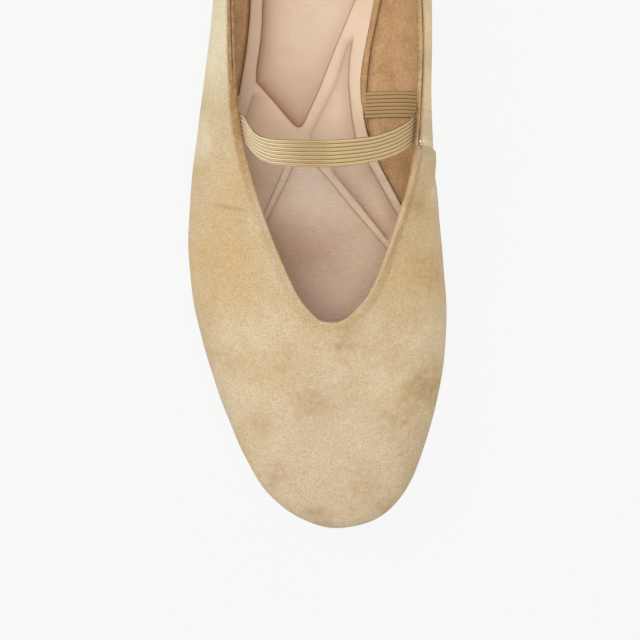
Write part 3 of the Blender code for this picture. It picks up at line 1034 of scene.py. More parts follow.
class Sheet:
    """Piece made from a grid: a face sheet and a back sheet joined all round, or a face sheet alone."""

    def __init__(self, name: str, face: np.ndarray, back: np.ndarray | None = None,
                 values: Values | None = None, uv: np.ndarray | None = None,
                 back_values: Values | None = None) -> None:
        """Takes the places of the corners.

        Args:
            name: name of the piece.
            face: places by column and row.
            back: places of the other side, or None for a sheet that is closed by other means.
            values: numbers by column and row, stored as attributes.
            uv: map coordinates by column and row.
            back_values: numbers for the corners of the other side, where they differ.
        """
        self.name = name
        self.face = face
        self.back = back
        self.values = values or {}
        self.back_values = back_values or {}
        self.uv = uv

    def build(self, closed_columns: bool = False, cap: bool = False,
              sharp: float = 50.0) -> bpy.types.Object:
        """Makes the object.

        Args:
            closed_columns: the last column joins the first.
            cap: open ends are filled.
            sharp: edges sharper than this angle, in degrees, stay crisp.

        Returns:
            The object.
        """
        columns, rows = self.face.shape[:2]
        across = columns if closed_columns else columns - 1
        shape = bmesh.new()
        column_layer = shape.verts.layers.int.new("column")
        row_layer = shape.verts.layers.int.new("row")
        layers = {name: shape.verts.layers.float.new(name) for name in self.values}
        bmesh.ops.create_grid(shape, x_segments=across, y_segments=rows - 1, size=1.0)
        for corner in shape.verts:
            column = round((corner.co.x + 1.0) / 2.0 * across) % columns
            row = round((corner.co.y + 1.0) / 2.0 * (rows - 1))
            corner[column_layer] = column
            corner[row_layer] = row
            for name, layer in layers.items():
                corner[layer] = float(self.values[name][column, row])
            corner.co = self.face[column, row]
        bmesh.ops.remove_doubles(shape, verts=shape.verts, dist=1e-7)
        if self.back is not None:
            made = bmesh.ops.extrude_face_region(shape, geom=shape.faces[:])
            for corner in [item for item in made["geom"] if isinstance(item, bmesh.types.BMVert)]:
                place = corner[column_layer], corner[row_layer]
                corner.co = self.back[place]
                for name, numbers in self.back_values.items():
                    corner[layers[name]] = float(numbers[place])
        if cap:
            bmesh.ops.holes_fill(shape, edges=[edge for edge in shape.edges if edge.is_boundary], sides=0)
        bmesh.ops.recalc_face_normals(shape, faces=shape.faces)
        if self.uv is not None:
            chart = shape.loops.layers.uv.new("UVMap")
            for face in shape.faces:
                for loop in face.loops:
                    loop[chart].uv = self.uv[loop.vert[column_layer], loop.vert[row_layer]]
        return piece_from(self.name, shape, sharp)


def piece_from(name: str, shape: bmesh.types.BMesh, sharp: float = 50.0) -> bpy.types.Object:
    """Object from a bmesh, shaded smooth between its sharp edges.

    Args:
        name: name of the piece.
        shape: its mesh, which is freed.
        sharp: edges sharper than this angle, in degrees, stay crisp.

    Returns:
        The object.
    """
    mesh = bpy.data.meshes.new(name)
    shape.to_mesh(mesh)
    shape.free()
    mesh.shade_smooth()
    mesh.set_sharp_from_angle(angle=math.radians(sharp))
    made = bpy.data.objects.new(name, mesh)
    bpy.context.scene.collection.objects.link(made)
    return made


def dress(piece: bpy.types.Object, material: bpy.types.Material, slot: Slot) -> bpy.types.Object:
    """Gives a piece its material and rides it on the shoe's body.

    Args:
        piece: the piece.
        material: its finish.
        slot: not used.

    Returns:
        The same piece.
    """
    piece.data.materials.clear()
    piece.data.materials.append(material)
    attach(piece, "root")
    return piece


class Crease(NamedTuple):
    """Soft trough or ridge between two places seen from above, in millimetres."""

    x: float
    along: float
    end_x: float
    end_along: float
    width: float
    depth: float


CREASES = (
    Crease(33.6, 118.0, 34.6, 104.0, 3.0, 0.55),
    Crease(36.0, 113.5, 41.0, 112.0, 2.6, 0.45),
    Crease(-34.5, 103.6, -21.8, 101.6, 0.7, 0.14),
    Crease(-26.0, 99.2, -21.0, 98.6, 0.6, 0.08),
    Crease(-36.4, 106.0, -35.6, 70.0, 3.2, 0.28),
    Crease(27.0, 97.0, 21.0, 80.0, 2.4, 0.16),
    Crease(4.0, 62.0, -9.0, 57.0, 3.4, -0.14),
    Crease(-24.0, 62.0, -8.0, 52.0, 5.0, 0.12),
    Crease(30.0, 62.0, 14.0, 54.0, 5.0, 0.12),
)


@dataclass
class Upper:
    """Vamp, inner quarter, lining and the turned strip at the footbed."""

    last: Last
    suede: float = 1.0 * MM
    lap: float = 0.8 * MM
    lap_fade: float = 0.16
    lap_round: float = 0.45 * MM
    seam_share: float = 0.492
    seam_gap: float = 0.00012
    groove_inner: float = 0.35 * MM
    groove_outer: float = -0.42 * MM
    groove_width: float = 0.17 * MM
    groove_depth: float = 0.30 * MM
    roll_width: float = 2.3 * MM
    roll_height: float = 0.10 * MM
    quarter_swell: float = 0.30 * MM
    fold_inside: float = 1.7 * MM
    pale_width: float = 2.0 * MM
    roll_start: float = 0.9 * MM
    fold_swell: float = 0.04 * MM
    ripple_height: float = 0.09 * MM
    pucker_height: float = 0.10 * MM
    lining_gap: float = 0.03 * MM
    strip_height: float = 1.0 * MM
    strip_depth: float = 1.6 * MM
    seam_slant: float = -0.021
    lip_rows: int = 9
    vamp_columns: int = 400
    quarter_columns: int = 130
    rest_rows: int = 44
    lining_columns: int = 360
    lining_rows: int = 36
    strip_columns: int = 220
    near: tuple[float, ...] = tuple(
        value * MM for value in (0.0, 0.10, 0.20, 0.28, 0.36, 0.46, 0.60, 0.80, 1.05, 1.35, 1.7, 2.0, 2.3,
                                 2.6, 3.0, 3.6, 4.4, 5.4))
    lining_near: tuple[float, ...] = tuple(value * MM for value in (1.35, 1.5, 1.8, 2.3, 3.2, 4.5))

    @property
    def seam(self) -> float:
        """Turn of the inner side's seam at the collar."""
        return float(turn_at(self.seam_share))

    def crease_depth(self, points: np.ndarray) -> np.ndarray:
        """Depth of all creases at points of the outside.

        Args:
            points: places with X and Y in the last axis.

        Returns:
            Depths in metres.
        """
        total = np.zeros(points.shape[:-1])
        x = points[..., 0] / MM
        along = points[..., 1] / MM + self.last.length / MM / 2.0
        for crease in CREASES:
            start = np.array((crease.x, crease.along))
            run = np.array((crease.end_x, crease.end_along)) - start
            share = ((x - start[0]) * run[0] + (along - start[1]) * run[1]) / (run @ run)
            held = np.clip(share, 0.0, 1.0)
            off = np.hypot(x - start[0] - held * run[0], along - start[1] - held * run[1])
            ends = ease(held / 0.25) * ease((1.0 - held) / 0.25)
            total += crease.depth * np.exp(-(off / crease.width) ** 2) * (0.25 + 0.75 * ends)
        return total * MM

    def ripple(self, points: np.ndarray) -> np.ndarray:
        """Slow unevenness of soft suede over the last.

        Args:
            points: places with X and Y in the last axis.

        Returns:
            Heights in metres.
        """
        x = points[..., 0] / MM
        y = points[..., 1] / MM
        return self.ripple_height * (np.sin(x * 0.21 + y * 0.13) * np.sin(y * 0.17 - x * 0.07)
                                     + 0.6 * np.sin(x * 0.37 - y * 0.29 + 1.3))

    def from_seam(self, turns: np.ndarray) -> np.ndarray:
        """Rough distance along the shoe from the seam of the inner side, positive towards the toe."""
        return (self.seam - turns) * self.last.length / 2.0

    def lean_columns(self, turns: np.ndarray, levels: np.ndarray) -> np.ndarray:
        """Turns of all corners: the columns near the seam lean with it towards the toe."""
        near = np.exp(-((turns - self.seam) / 0.16) ** 2)
        return turns[:, None] + self.seam_slant * near[:, None] * ease((1.9 - levels) / 1.1)

    def lap_height(self, turns: np.ndarray) -> np.ndarray:
        """Height of the vamp over the quarter near the seam, with a rounded cut edge.

        Args:
            turns: one turn for each column.

        Returns:
            Heights in metres.
        """
        share = share_at(turns)
        height = self.lap * ease(1.0 - (self.seam_share - share) / self.lap_fade)
        near = 1.0 - np.clip(self.from_seam(turns) / self.lap_round, 0.0, 1.0)
        edge = 0.30 + 0.70 * np.sqrt(1.0 - near ** 2)
        return np.where((turns > 0.0) & (share <= self.seam_share + 1e-6), height * edge, 0.0)

    def edge_zones(self, turns: np.ndarray) -> tuple[np.ndarray, np.ndarray, np.ndarray]:
        """Strength of the stitched groove, of the padded roll and of the edge's wear and painted shade at
        each turn.

        Args:
            turns: one turn for each column.

        Returns:
            Three masks of 0 to 1.
        """
        share = share_at(turns)
        inner = turns > 0.0
        groove = np.where(inner, ease((share - 0.484) / 0.012), ease((share - 0.545) / 0.05))
        roll = np.where(inner, ease((share - 0.06) / 0.16) * ease((0.475 - share) / 0.05), 0.0)
        golden = 0.20 + 0.14 * ease((share - 0.10) / 0.15) + 0.08 * ease((share - 0.49) / 0.03)
        rub = np.where(inner, golden, 0.22 + 0.78 * ease((share - 0.40) / 0.16))
        return groove, roll, rub * ease((0.97 - share) / 0.12)

    def pale_band(self, turns: np.ndarray) -> np.ndarray:
        """Pale strip of the quarter beside the seam, with a brighter line at each border.

        Args:
            turns: one turn for each column.

        Returns:
            Mask of 0 to 1.
        """
        off = -self.from_seam(turns)
        plateau = 0.34 * ease((self.pale_width - off) / (0.5 * MM) + 0.5)
        lines = np.exp(-((off - 0.15 * MM) / (0.20 * MM)) ** 2)
        lines += np.exp(-((off - self.pale_width) / (0.26 * MM)) ** 2)
        return np.where(turns > 0.0, np.clip(plateau + 0.45 * lines, 0.0, 1.0), 0.0)

    def lip_values(self, turns: np.ndarray) -> tuple[np.ndarray, np.ndarray]:
        """Wear with painted shade, and painted shade alone, of the lip's inner half at each turn.

        Args:
            turns: one turn for each column.

        Returns:
            Two masks of 0 to 1.
        """
        share = share_at(turns)
        # Painted shadow of the elastic band's ends on the inner lip.
        under_band = ease((share - 0.470) / 0.02) * ease((0.560 - share) / 0.03)
        inner_wear_and_shade = 0.12 + 0.28 * ease((share - 0.40) / 0.10) + 0.32 * ease((share - 0.49) / 0.03)
        inner_wear_and_shade = inner_wear_and_shade + 0.28 * under_band
        outer_wear_and_shade = 0.22 + 0.68 * ease((share - 0.40) / 0.16)
        rub = np.where(turns > 0.0, inner_wear_and_shade, outer_wear_and_shade) * ease((0.97 - share) / 0.12)
        inner_shade = 0.12 * ease((share - 0.49) / 0.03) + 0.43 * under_band
        outer_shade = 0.30 * ease((share - 0.45) / 0.08) * ease((0.97 - share) / 0.12)
        return np.clip(rub, 0.0, 1.0), np.where(turns > 0.0, inner_shade, outer_shade)

    def off_groove(self, turns: np.ndarray, reach: np.ndarray) -> np.ndarray:
        """Distance of each row from the groove line, by column and row."""
        return reach - np.where(turns > 0.0, self.groove_inner, self.groove_outer)[:, None]

    def groove(self, turns: np.ndarray, reach: np.ndarray) -> tuple[np.ndarray, np.ndarray]:
        """Groove line beside the collar edge.

        Args:
            turns: one turn for each column.
            reach: distance of each row from the collar edge, negative over the lip.

        Returns:
            Depth of the groove and the painted shade of its line, by column and row.
        """
        stitched, _, _ = self.edge_zones(turns)
        inner = (turns > 0.0)[:, None]
        off = self.off_groove(turns, reach)
        wander = 1.0 + 0.25 * np.sin(turns * 61.0) + 0.2 * np.sin(turns * 143.0 + 1.0)
        cut = self.groove_depth * np.exp(-(off / (self.groove_width * np.where(inner, 1.9, 1.0))) ** 2)
        # Painted shade along the groove.
        line = np.exp(-(off / (0.24 * MM * np.where(inner, 2.2, 1.15))) ** 2)
        line = line * (stitched * (0.78 + 0.26 * wander))[:, None]
        return cut * (stitched * wander)[:, None], np.clip(line, 0.0, 1.0)

    def swelling(self, turns: np.ndarray, distance: np.ndarray) -> np.ndarray:
        """Padded roll beside the collar and the soft swelling of the fold.

        Args:
            turns: one turn for each column.
            distance: distance of each row from the collar edge.

        Returns:
            Heights in metres, by column and row.
        """
        _, rolled, _ = self.edge_zones(turns)
        start = self.roll_start
        hump = np.sqrt(np.clip(1.0 - ((distance - start) / (self.roll_width - start)) ** 2, 0.0, 1.0))
        fold = self.fold_swell * np.exp(-((distance - 1.5 * MM) / (0.9 * MM)) ** 2)
        quarter = np.where(turns > 0.0, self.quarter_swell * ease((share_at(turns) - 0.56) / 0.06), 0.0)
        return self.roll_height * hump * rolled[:, None] + fold + quarter[:, None]

    def tones(self, turns: np.ndarray, reach: np.ndarray, line: np.ndarray,
              lifted: bool) -> tuple[Values, Values]:
        """Painted shade, darkening by wear and painted shade, and paleness of a layer.

        Args:
            turns: one turn for each column.
            reach: distance of each row from the collar edge, negative over the lip.
            line: darkness of the groove line.
            lifted: the layer laps over its neighbour at the seam.

        Returns:
            Numbers for the face and for the back.
        """
        inner = turns > 0.0
        _, _, rubbed = self.edge_zones(turns)
        outer_band = ease(1.55 - self.off_groove(turns, reach) / (2.6 * MM))
        inner_band = ease(1.75 - np.abs(reach) / (1.9 * MM))
        rub = np.where(inner[:, None], inner_band, outer_band) * rubbed[:, None]
        lip_wear_and_shade, lip_shade = self.lip_values(turns)
        blend = np.concatenate((np.linspace(1.0, 0.0, self.lip_rows), np.zeros(len(reach) - self.lip_rows)))
        rub = rub * (1.0 - blend) + lip_wear_and_shade[:, None] * blend
        pale = np.zeros(rub.shape)
        if lifted:
            near_seam = np.exp(-(self.from_seam(turns) / (2.6 * MM)) ** 2) * inner
            rub = np.maximum(rub, 0.24 * near_seam[:, None])
        else:
            pale = pale + self.pale_band(turns)[:, None]
        full = np.ones(rub.shape)
        back = {"shade": lip_shade[:, None] * full, "rub": lip_wear_and_shade[:, None] * full, "pale": 0.0 * full}
        return {"shade": np.maximum(line, lip_shade[:, None] * blend), "rub": rub, "pale": pale}, back

    def layer(self, name: str, turns: np.ndarray, lifted: bool) -> bpy.types.Object:
        """One suede layer with its folded collar edge.

        Args:
            name: name of the piece.
            turns: turn of each column.
            lifted: the layer laps over its neighbour at the seam.

        Returns:
            The object.
        """
        last = self.last
        levels = last.levels_below_collar(turns, self.near, self.rest_rows)
        wide_turns = self.lean_columns(turns, levels)
        distance = np.concatenate((self.near, self.near[-1] + 2.0 * MM + np.zeros(self.rest_rows)))
        _, upward, _ = last.frames(wide_turns, levels)
        outside = last.surface(wide_turns, levels)
        angles = math.pi / 2.0 * np.arange(self.lip_rows, 0, -1) / (self.lip_rows + 0.35)
        reach = np.concatenate((-angles * last.wall / 2.0, distance))
        groove, line = self.groove(turns, reach)
        push = self.swelling(turns, distance) - groove[:, self.lip_rows:]
        if lifted:
            push = push + self.lap_height(turns)[:, None]
        fade = ease(np.arange(len(distance)) / 6.0)
        push = push - (self.crease_depth(outside) - self.ripple(outside)) * fade
        face = last.shell(wide_turns, levels, np.where(levels <= 0.0, 0.0, -push))
        depth = np.where(distance < self.fold_inside, last.wall, self.suede)
        back = last.shell(wide_turns, levels, np.broadcast_to(depth, levels.shape))
        middle = ((face[:, 0] + back[:, 0]) / 2.0)[:, None]
        half = ((face[:, 0] - back[:, 0]) / 2.0)[:, None]
        size = np.linalg.norm(half, axis=-1, keepdims=True)
        tall = upward[:, :1] * size * np.sin(angles)[None, :, None]
        side = half * np.cos(angles)[None, :, None]
        cut = 1.0 - groove[:, :self.lip_rows, None] / size
        face = np.concatenate((middle + (side + tall) * cut, face), axis=1)
        back = np.concatenate((middle - side + tall, back), axis=1)
        values, back_values = self.tones(turns, reach, line, lifted)
        return Sheet(name, face, back, values, back_values=back_values).build()

    def build_suede(self) -> list[bpy.types.Object]:
        """Vamp round the toe and the outer side to the middle of the heel, and the inner side's quarter.

        Returns:
            Vamp and quarter.
        """
        fine = np.array((0.0, 0.03, 0.09, 0.18, 0.30, 0.46, 0.70, 1.1)) * MM / (self.last.length / 2.0)
        vamp_turns = np.linspace(self.seam - fine[-1] * 1.5, -math.pi + 0.001, self.vamp_columns)
        vamp_turns = np.concatenate((self.seam - fine, vamp_turns))
        quarter_turns = np.linspace(math.pi - 0.001, self.seam + self.seam_gap, self.quarter_columns)
        return [self.layer("vamp", vamp_turns, True), self.layer("quarter", quarter_turns, False)]

    def build_lining(self) -> bpy.types.Object:
        """Lining inside the suede, from under the fold down to the footbed, with a filled corner there.

        Returns:
            The object.
        """
        last = self.last
        turns = np.linspace(-math.pi, math.pi, self.lining_columns + 1)[:-1]
        near = self.lining_near
        levels = last.levels_below_collar(turns, near, self.lining_rows)
        wide_turns = turns[:, None] + 0.0 * levels
        top = np.concatenate(((0.35, 0.05), np.zeros(levels.shape[1] - 2))) * MM
        face = last.inside(wide_turns, levels, last.wall - top)
        back = last.shell(wide_turns, levels, np.full(levels.shape, self.suede + self.lining_gap))
        pucker = self.pucker_height * np.sin(turns * 37.0)[:, None] * np.sin(levels * 5.0)
        face[..., 2] += pucker * ease((levels - 0.2) / 0.4)
        share = share_at(turns)[:, None]
        outer = (turns < 0.0)[:, None]
        # Painted shade: a dark contact line at the footbed and the band's shadow at its ends.
        above = face[..., 2] - last.insole_top(face[..., 1])
        outer_foot = 0.50 * np.exp(-(above / (0.5 * MM)) ** 2)
        inner_foot = 0.25 * np.exp(-(above / (0.7 * MM)) ** 2)
        foot = np.where(outer, outer_foot, inner_foot)
        below = np.concatenate((near, near[-1] + 6.0 * MM + np.zeros(self.lining_rows)))
        under_band = ease((share - 0.475) / 0.02) * ease((0.575 - share) / 0.03)
        shaded = 0.85 * under_band * np.exp(-(below / (3.6 * MM)) ** 2)
        # Painted shadow just under the lip, stronger on the outer side.
        seam = np.where(outer, 0.55, 0.15) * ease((share - 0.40) / 0.10) * np.exp(-(below / (1.9 * MM)) ** 2)
        shade = np.clip(foot + np.maximum(shaded, seam), 0.0, 1.0)
        return Sheet("lining", face, back, {"shade": shade}).build(closed_columns=True)

    def build_strip(self) -> bpy.types.Object:
        """Turned strip of lining along the inner edge of the footbed, tapering to nothing under the band.

        Returns:
            The object.
        """
        last = self.last
        shares = np.linspace(STRIP[0].share, STRIP[-1].share, self.strip_columns)
        turns = turn_at(shares)
        rim = last.shell(turns, np.zeros_like(turns), last.wall)[..., :2]
        inward = last.inward(turns)
        rim = rim + inward * last.clearance
        table = [row.share for row in STRIP]
        inner = np.interp(shares, table, [row.inner for row in STRIP])
        outer = np.interp(shares, table, [row.outer for row in STRIP])
        section = np.array((0.0, 0.06, 0.15, 0.28, 0.45, 0.62, 0.78, 0.90, 0.97, 1.0))
        profile = np.array((0.0, 0.35, 0.62, 0.86, 0.98, 1.0, 0.93, 0.80, 0.66, 0.50))
        face = np.empty((len(turns), len(section), 3))
        for row, share in enumerate(section):
            flat = rim - inward * (inner + (outer - inner) * share)[:, None]
            crown = self.strip_height * profile[row] * ease(0.25 + (outer - inner) / (1.6 * MM))
            height = last.insole_top(flat[:, 1]) + 0.05 * MM + crown
            face[:, row] = np.concatenate((flat, height[:, None]), axis=1)
        back = face - np.array((0.0, 0.0, self.strip_depth))
        # Painted shade: darker along both edges, where the strip meets the footbed and the wall, and a little
        # over its middle.
        shade = np.array((0.70, 0.38, 0.16, 0.08, 0.06, 0.06, 0.08, 0.16, 0.36, 0.62))
        shade = shade[None] * (0.80 + 0.20 * np.sin(np.arange(len(turns)) * 1.7))[:, None]
        return Sheet("lining_strip", face, back, {"shade": shade}).build()

    def dress(self) -> list[bpy.types.Object]:
        """Builds and dresses all pieces of the upper.

        Returns:
            The four pieces.
        """
        suede = SuedeFinish(self.last.length / MM / 2.0).make()
        lining = LiningFinish().make()
        layers = [dress(piece, suede, Slot.SUEDE) for piece in self.build_suede()]
        inside = dress(self.build_lining(), lining, Slot.LINING)
        strip = dress(self.build_strip(), lining, Slot.LINING)
        for piece in layers:
            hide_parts("upper")
        return [*layers, inside, strip]


class Spot(NamedTuple):
    """Place on the footbed seen from above, in millimetres from the middle and the toe tip."""

    x: float
    along: float


class Nearest(NamedTuple):
    """Nearest places on a line: distance, side, foot point and position along the line."""

    off: np.ndarray
    side: np.ndarray
    foot_x: np.ndarray
    foot_along: np.ndarray
    run: np.ndarray
    length: float


def nearest_on(x: np.ndarray, along: np.ndarray, points: Sequence[Spot]) -> Nearest:
    """Nearest places on a line through points.

    Args:
        x: places across the shoe.
        along: places along the shoe.
        points: corners of the line.

    Returns:
        The nearest places; side is 1 on the right of the line and -1 on its left.
    """
    best = np.full(x.shape, 1e9)
    side = np.ones(x.shape)
    foot_x = np.zeros(x.shape)
    foot_along = np.zeros(x.shape)
    run = np.zeros(x.shape)
    length = 0.0
    for first, second in zip(points[:-1], points[1:]):
        run_x = second.x - first.x
        run_y = second.along - first.along
        span = math.hypot(run_x, run_y)
        held = np.clip(((x - first.x) * run_x + (along - first.along) * run_y) / span ** 2, 0.0, 1.0)
        near_x = first.x + held * run_x
        near_y = first.along + held * run_y
        off = np.hypot(x - near_x, along - near_y)
        turned = np.sign(run_y * (x - first.x) - run_x * (along - first.along))
        closer = off < best
        best = np.where(closer, off, best)
        side = np.where(closer, turned, side)
        foot_x = np.where(closer, near_x, foot_x)
        foot_along = np.where(closer, near_y, foot_along)
        run = np.where(closer, length + held * span, run)
        length += span
    return Nearest(best, side, foot_x, foot_along, run, length)


def inside_polygon(x: np.ndarray, along: np.ndarray, points: Sequence[Spot]) -> np.ndarray:
    """True for places inside a closed outline.

    Args:
        x: places across the shoe.
        along: places along the shoe.
        points: corners of the outline.

    Returns:
        True or false for each place.
    """
    inside = np.zeros(x.shape, dtype=bool)
    for first, second in zip(points, [*points[1:], points[0]]):
        crosses = (first.along > along) != (second.along > along)
        rise = second.along - first.along
        meet = first.x + (along - first.along) * (second.x - first.x) / (rise if rise else 1e-9)
        inside ^= crosses & (x < meet)
    return inside


class Gloom(NamedTuple):
    """Painted shade inside a field that sets in along the shoe, in millimetres, and changes across it."""

    amount: float
    start: float
    reach: float
    tilt: float = 0.0


@dataclass(frozen=True)
class Panel:
    """Sunk field of the footbed: outline, depth and width of its edge in millimetres."""

    points: tuple[Spot, ...]
    depth: float
    soft: float = 0.28
    shadow: float = 1.0
    fall: float = 3.0
    gloom: Gloom | None = None

    def line(self) -> tuple[Spot, ...]:
        """Closed outline."""
        return (*self.points, self.points[0])

    def signed(self, x: np.ndarray, along: np.ndarray) -> tuple[np.ndarray, Nearest]:
        """Distance from the outline, positive inside the field."""
        near = nearest_on(x, along, self.line())
        return np.where(inside_polygon(x, along, self.points), near.off, -near.off), near


@dataclass(frozen=True)
class Step:
    """Crisp step along a line that runs out away from it: sunk on the right of the line."""

    points: tuple[Spot, ...]
    depth: float
    reach: float
    soft: float = 0.25
    taper: float = 3.0
    shadow: float = 1.0
    fall: float = 3.0

    def line(self) -> tuple[Spot, ...]:
        """The line itself."""
        return self.points

    def signed(self, x: np.ndarray, along: np.ndarray) -> tuple[np.ndarray, Nearest]:
        """Distance from the line, positive on its right."""
        near = nearest_on(x, along, self.points)
        return near.off * near.side, near


HEEL_FIELD = Panel((
    Spot(-17.7, 171.0), Spot(-18.0, 162.5), Spot(-18.4, 157.7), Spot(-19.0, 153.0), Spot(-19.7, 149.0),
    Spot(-19.9, 144.4), Spot(-14.0, 137.9), Spot(-8.3, 131.2), Spot(-7.2, 130.2), Spot(-6.3, 129.8),
    Spot(-5.5, 129.9), Spot(-4.8, 130.6), Spot(-4.1, 131.9), Spot(0.6, 142.3), Spot(6.0, 156.0),
    Spot(12.1, 170.6), Spot(15.0, 178.0), Spot(17.2, 188.0), Spot(18.4, 200.0), Spot(18.3, 212.0),
    Spot(17.6, 218.3), Spot(15.8, 224.3), Spot(12.8, 229.3), Spot(9.0, 233.2), Spot(4.5, 235.7),
    Spot(-0.2, 236.5), Spot(-5.0, 235.7), Spot(-9.5, 233.2), Spot(-13.3, 229.3), Spot(-16.3, 224.3),
    Spot(-18.1, 218.3), Spot(-18.8, 212.0), Spot(-18.8, 200.0), Spot(-18.0, 186.0)), 1.0,
    fall=3.3, gloom=Gloom(0.18, 166.0, 34.0))
INNER_FACET = Panel((
    Spot(11.6, 158.9), Spot(10.4, 152.0), Spot(10.0, 144.0), Spot(11.1, 133.0), Spot(12.3, 126.6),
    Spot(7.3, 122.3), Spot(-2.4, 122.3), Spot(-2.4, 127.8), Spot(5.7, 144.0), Spot(9.2, 155.2)),
    0.40, 1.9, 0.4, 3.0)
INNER_WEDGE = Panel((
    Spot(3.9, 117.1), Spot(22.9, 93.2), Spot(27.0, 97.0), Spot(26.2, 100.7), Spot(16.3, 118.3),
    Spot(12.0, 121.5)), 0.35, 1.2, 0.5)
OUTER_FACET_LINE = Step((Spot(-20.5, 141.6), Spot(-23.3, 132.8), Spot(-25.2, 127.0)), -0.55, 10.0,
                        shadow=0.6, fall=2.5)
INNER_BAND_LINE = Step((
    Spot(11.6, 159.2), Spot(10.4, 152.0), Spot(10.0, 144.0), Spot(11.1, 133.0), Spot(12.3, 126.6),
    Spot(14.0, 122.0)), 0.35, 4.0, fall=1.6)
INNER_STRIP_LINE = Step((Spot(23.6, 92.1), Spot(14.0, 104.3), Spot(3.5, 116.9)), 0.35, 5.0,
                        shadow=0.5, fall=1.5)
OUTER_STRIP_LINE = Step((Spot(-10.2, 118.2), Spot(-17.1, 102.3), Spot(-21.5, 93.0)), 0.40, 6.0,
                        shadow=0.8, fall=2.5)
LOWER_BAND_LINE = Step((Spot(15.8, 119.2), Spot(26.2, 100.7), Spot(31.0, 90.0)), 0.35, 4.5, fall=2.0)
BALL_FIELD = Panel((
    Spot(-7.4, 118.0), Spot(-11.0, 110.5), Spot(-16.2, 99.9), Spot(-22.0, 88.0), Spot(-27.0, 74.0),
    Spot(-27.0, 58.0), Spot(-23.5, 41.0), Spot(-15.0, 26.0), Spot(2.0, 16.0), Spot(18.0, 20.0),
    Spot(27.0, 36.0), Spot(30.5, 54.0), Spot(30.5, 70.0), Spot(28.0, 82.0), Spot(22.7, 90.0),
    Spot(10.6, 104.1), Spot(3.7, 112.6), Spot(-1.0, 118.0)), 0.75, 0.4, 0.5, 2.2,
    Gloom(0.25, 106.0, 13.0, -0.0043))
FIELDS = (HEEL_FIELD, BALL_FIELD, INNER_FACET, INNER_WEDGE)
STEPS = (OUTER_FACET_LINE, INNER_BAND_LINE, INNER_STRIP_LINE, OUTER_STRIP_LINE, LOWER_BAND_LINE)


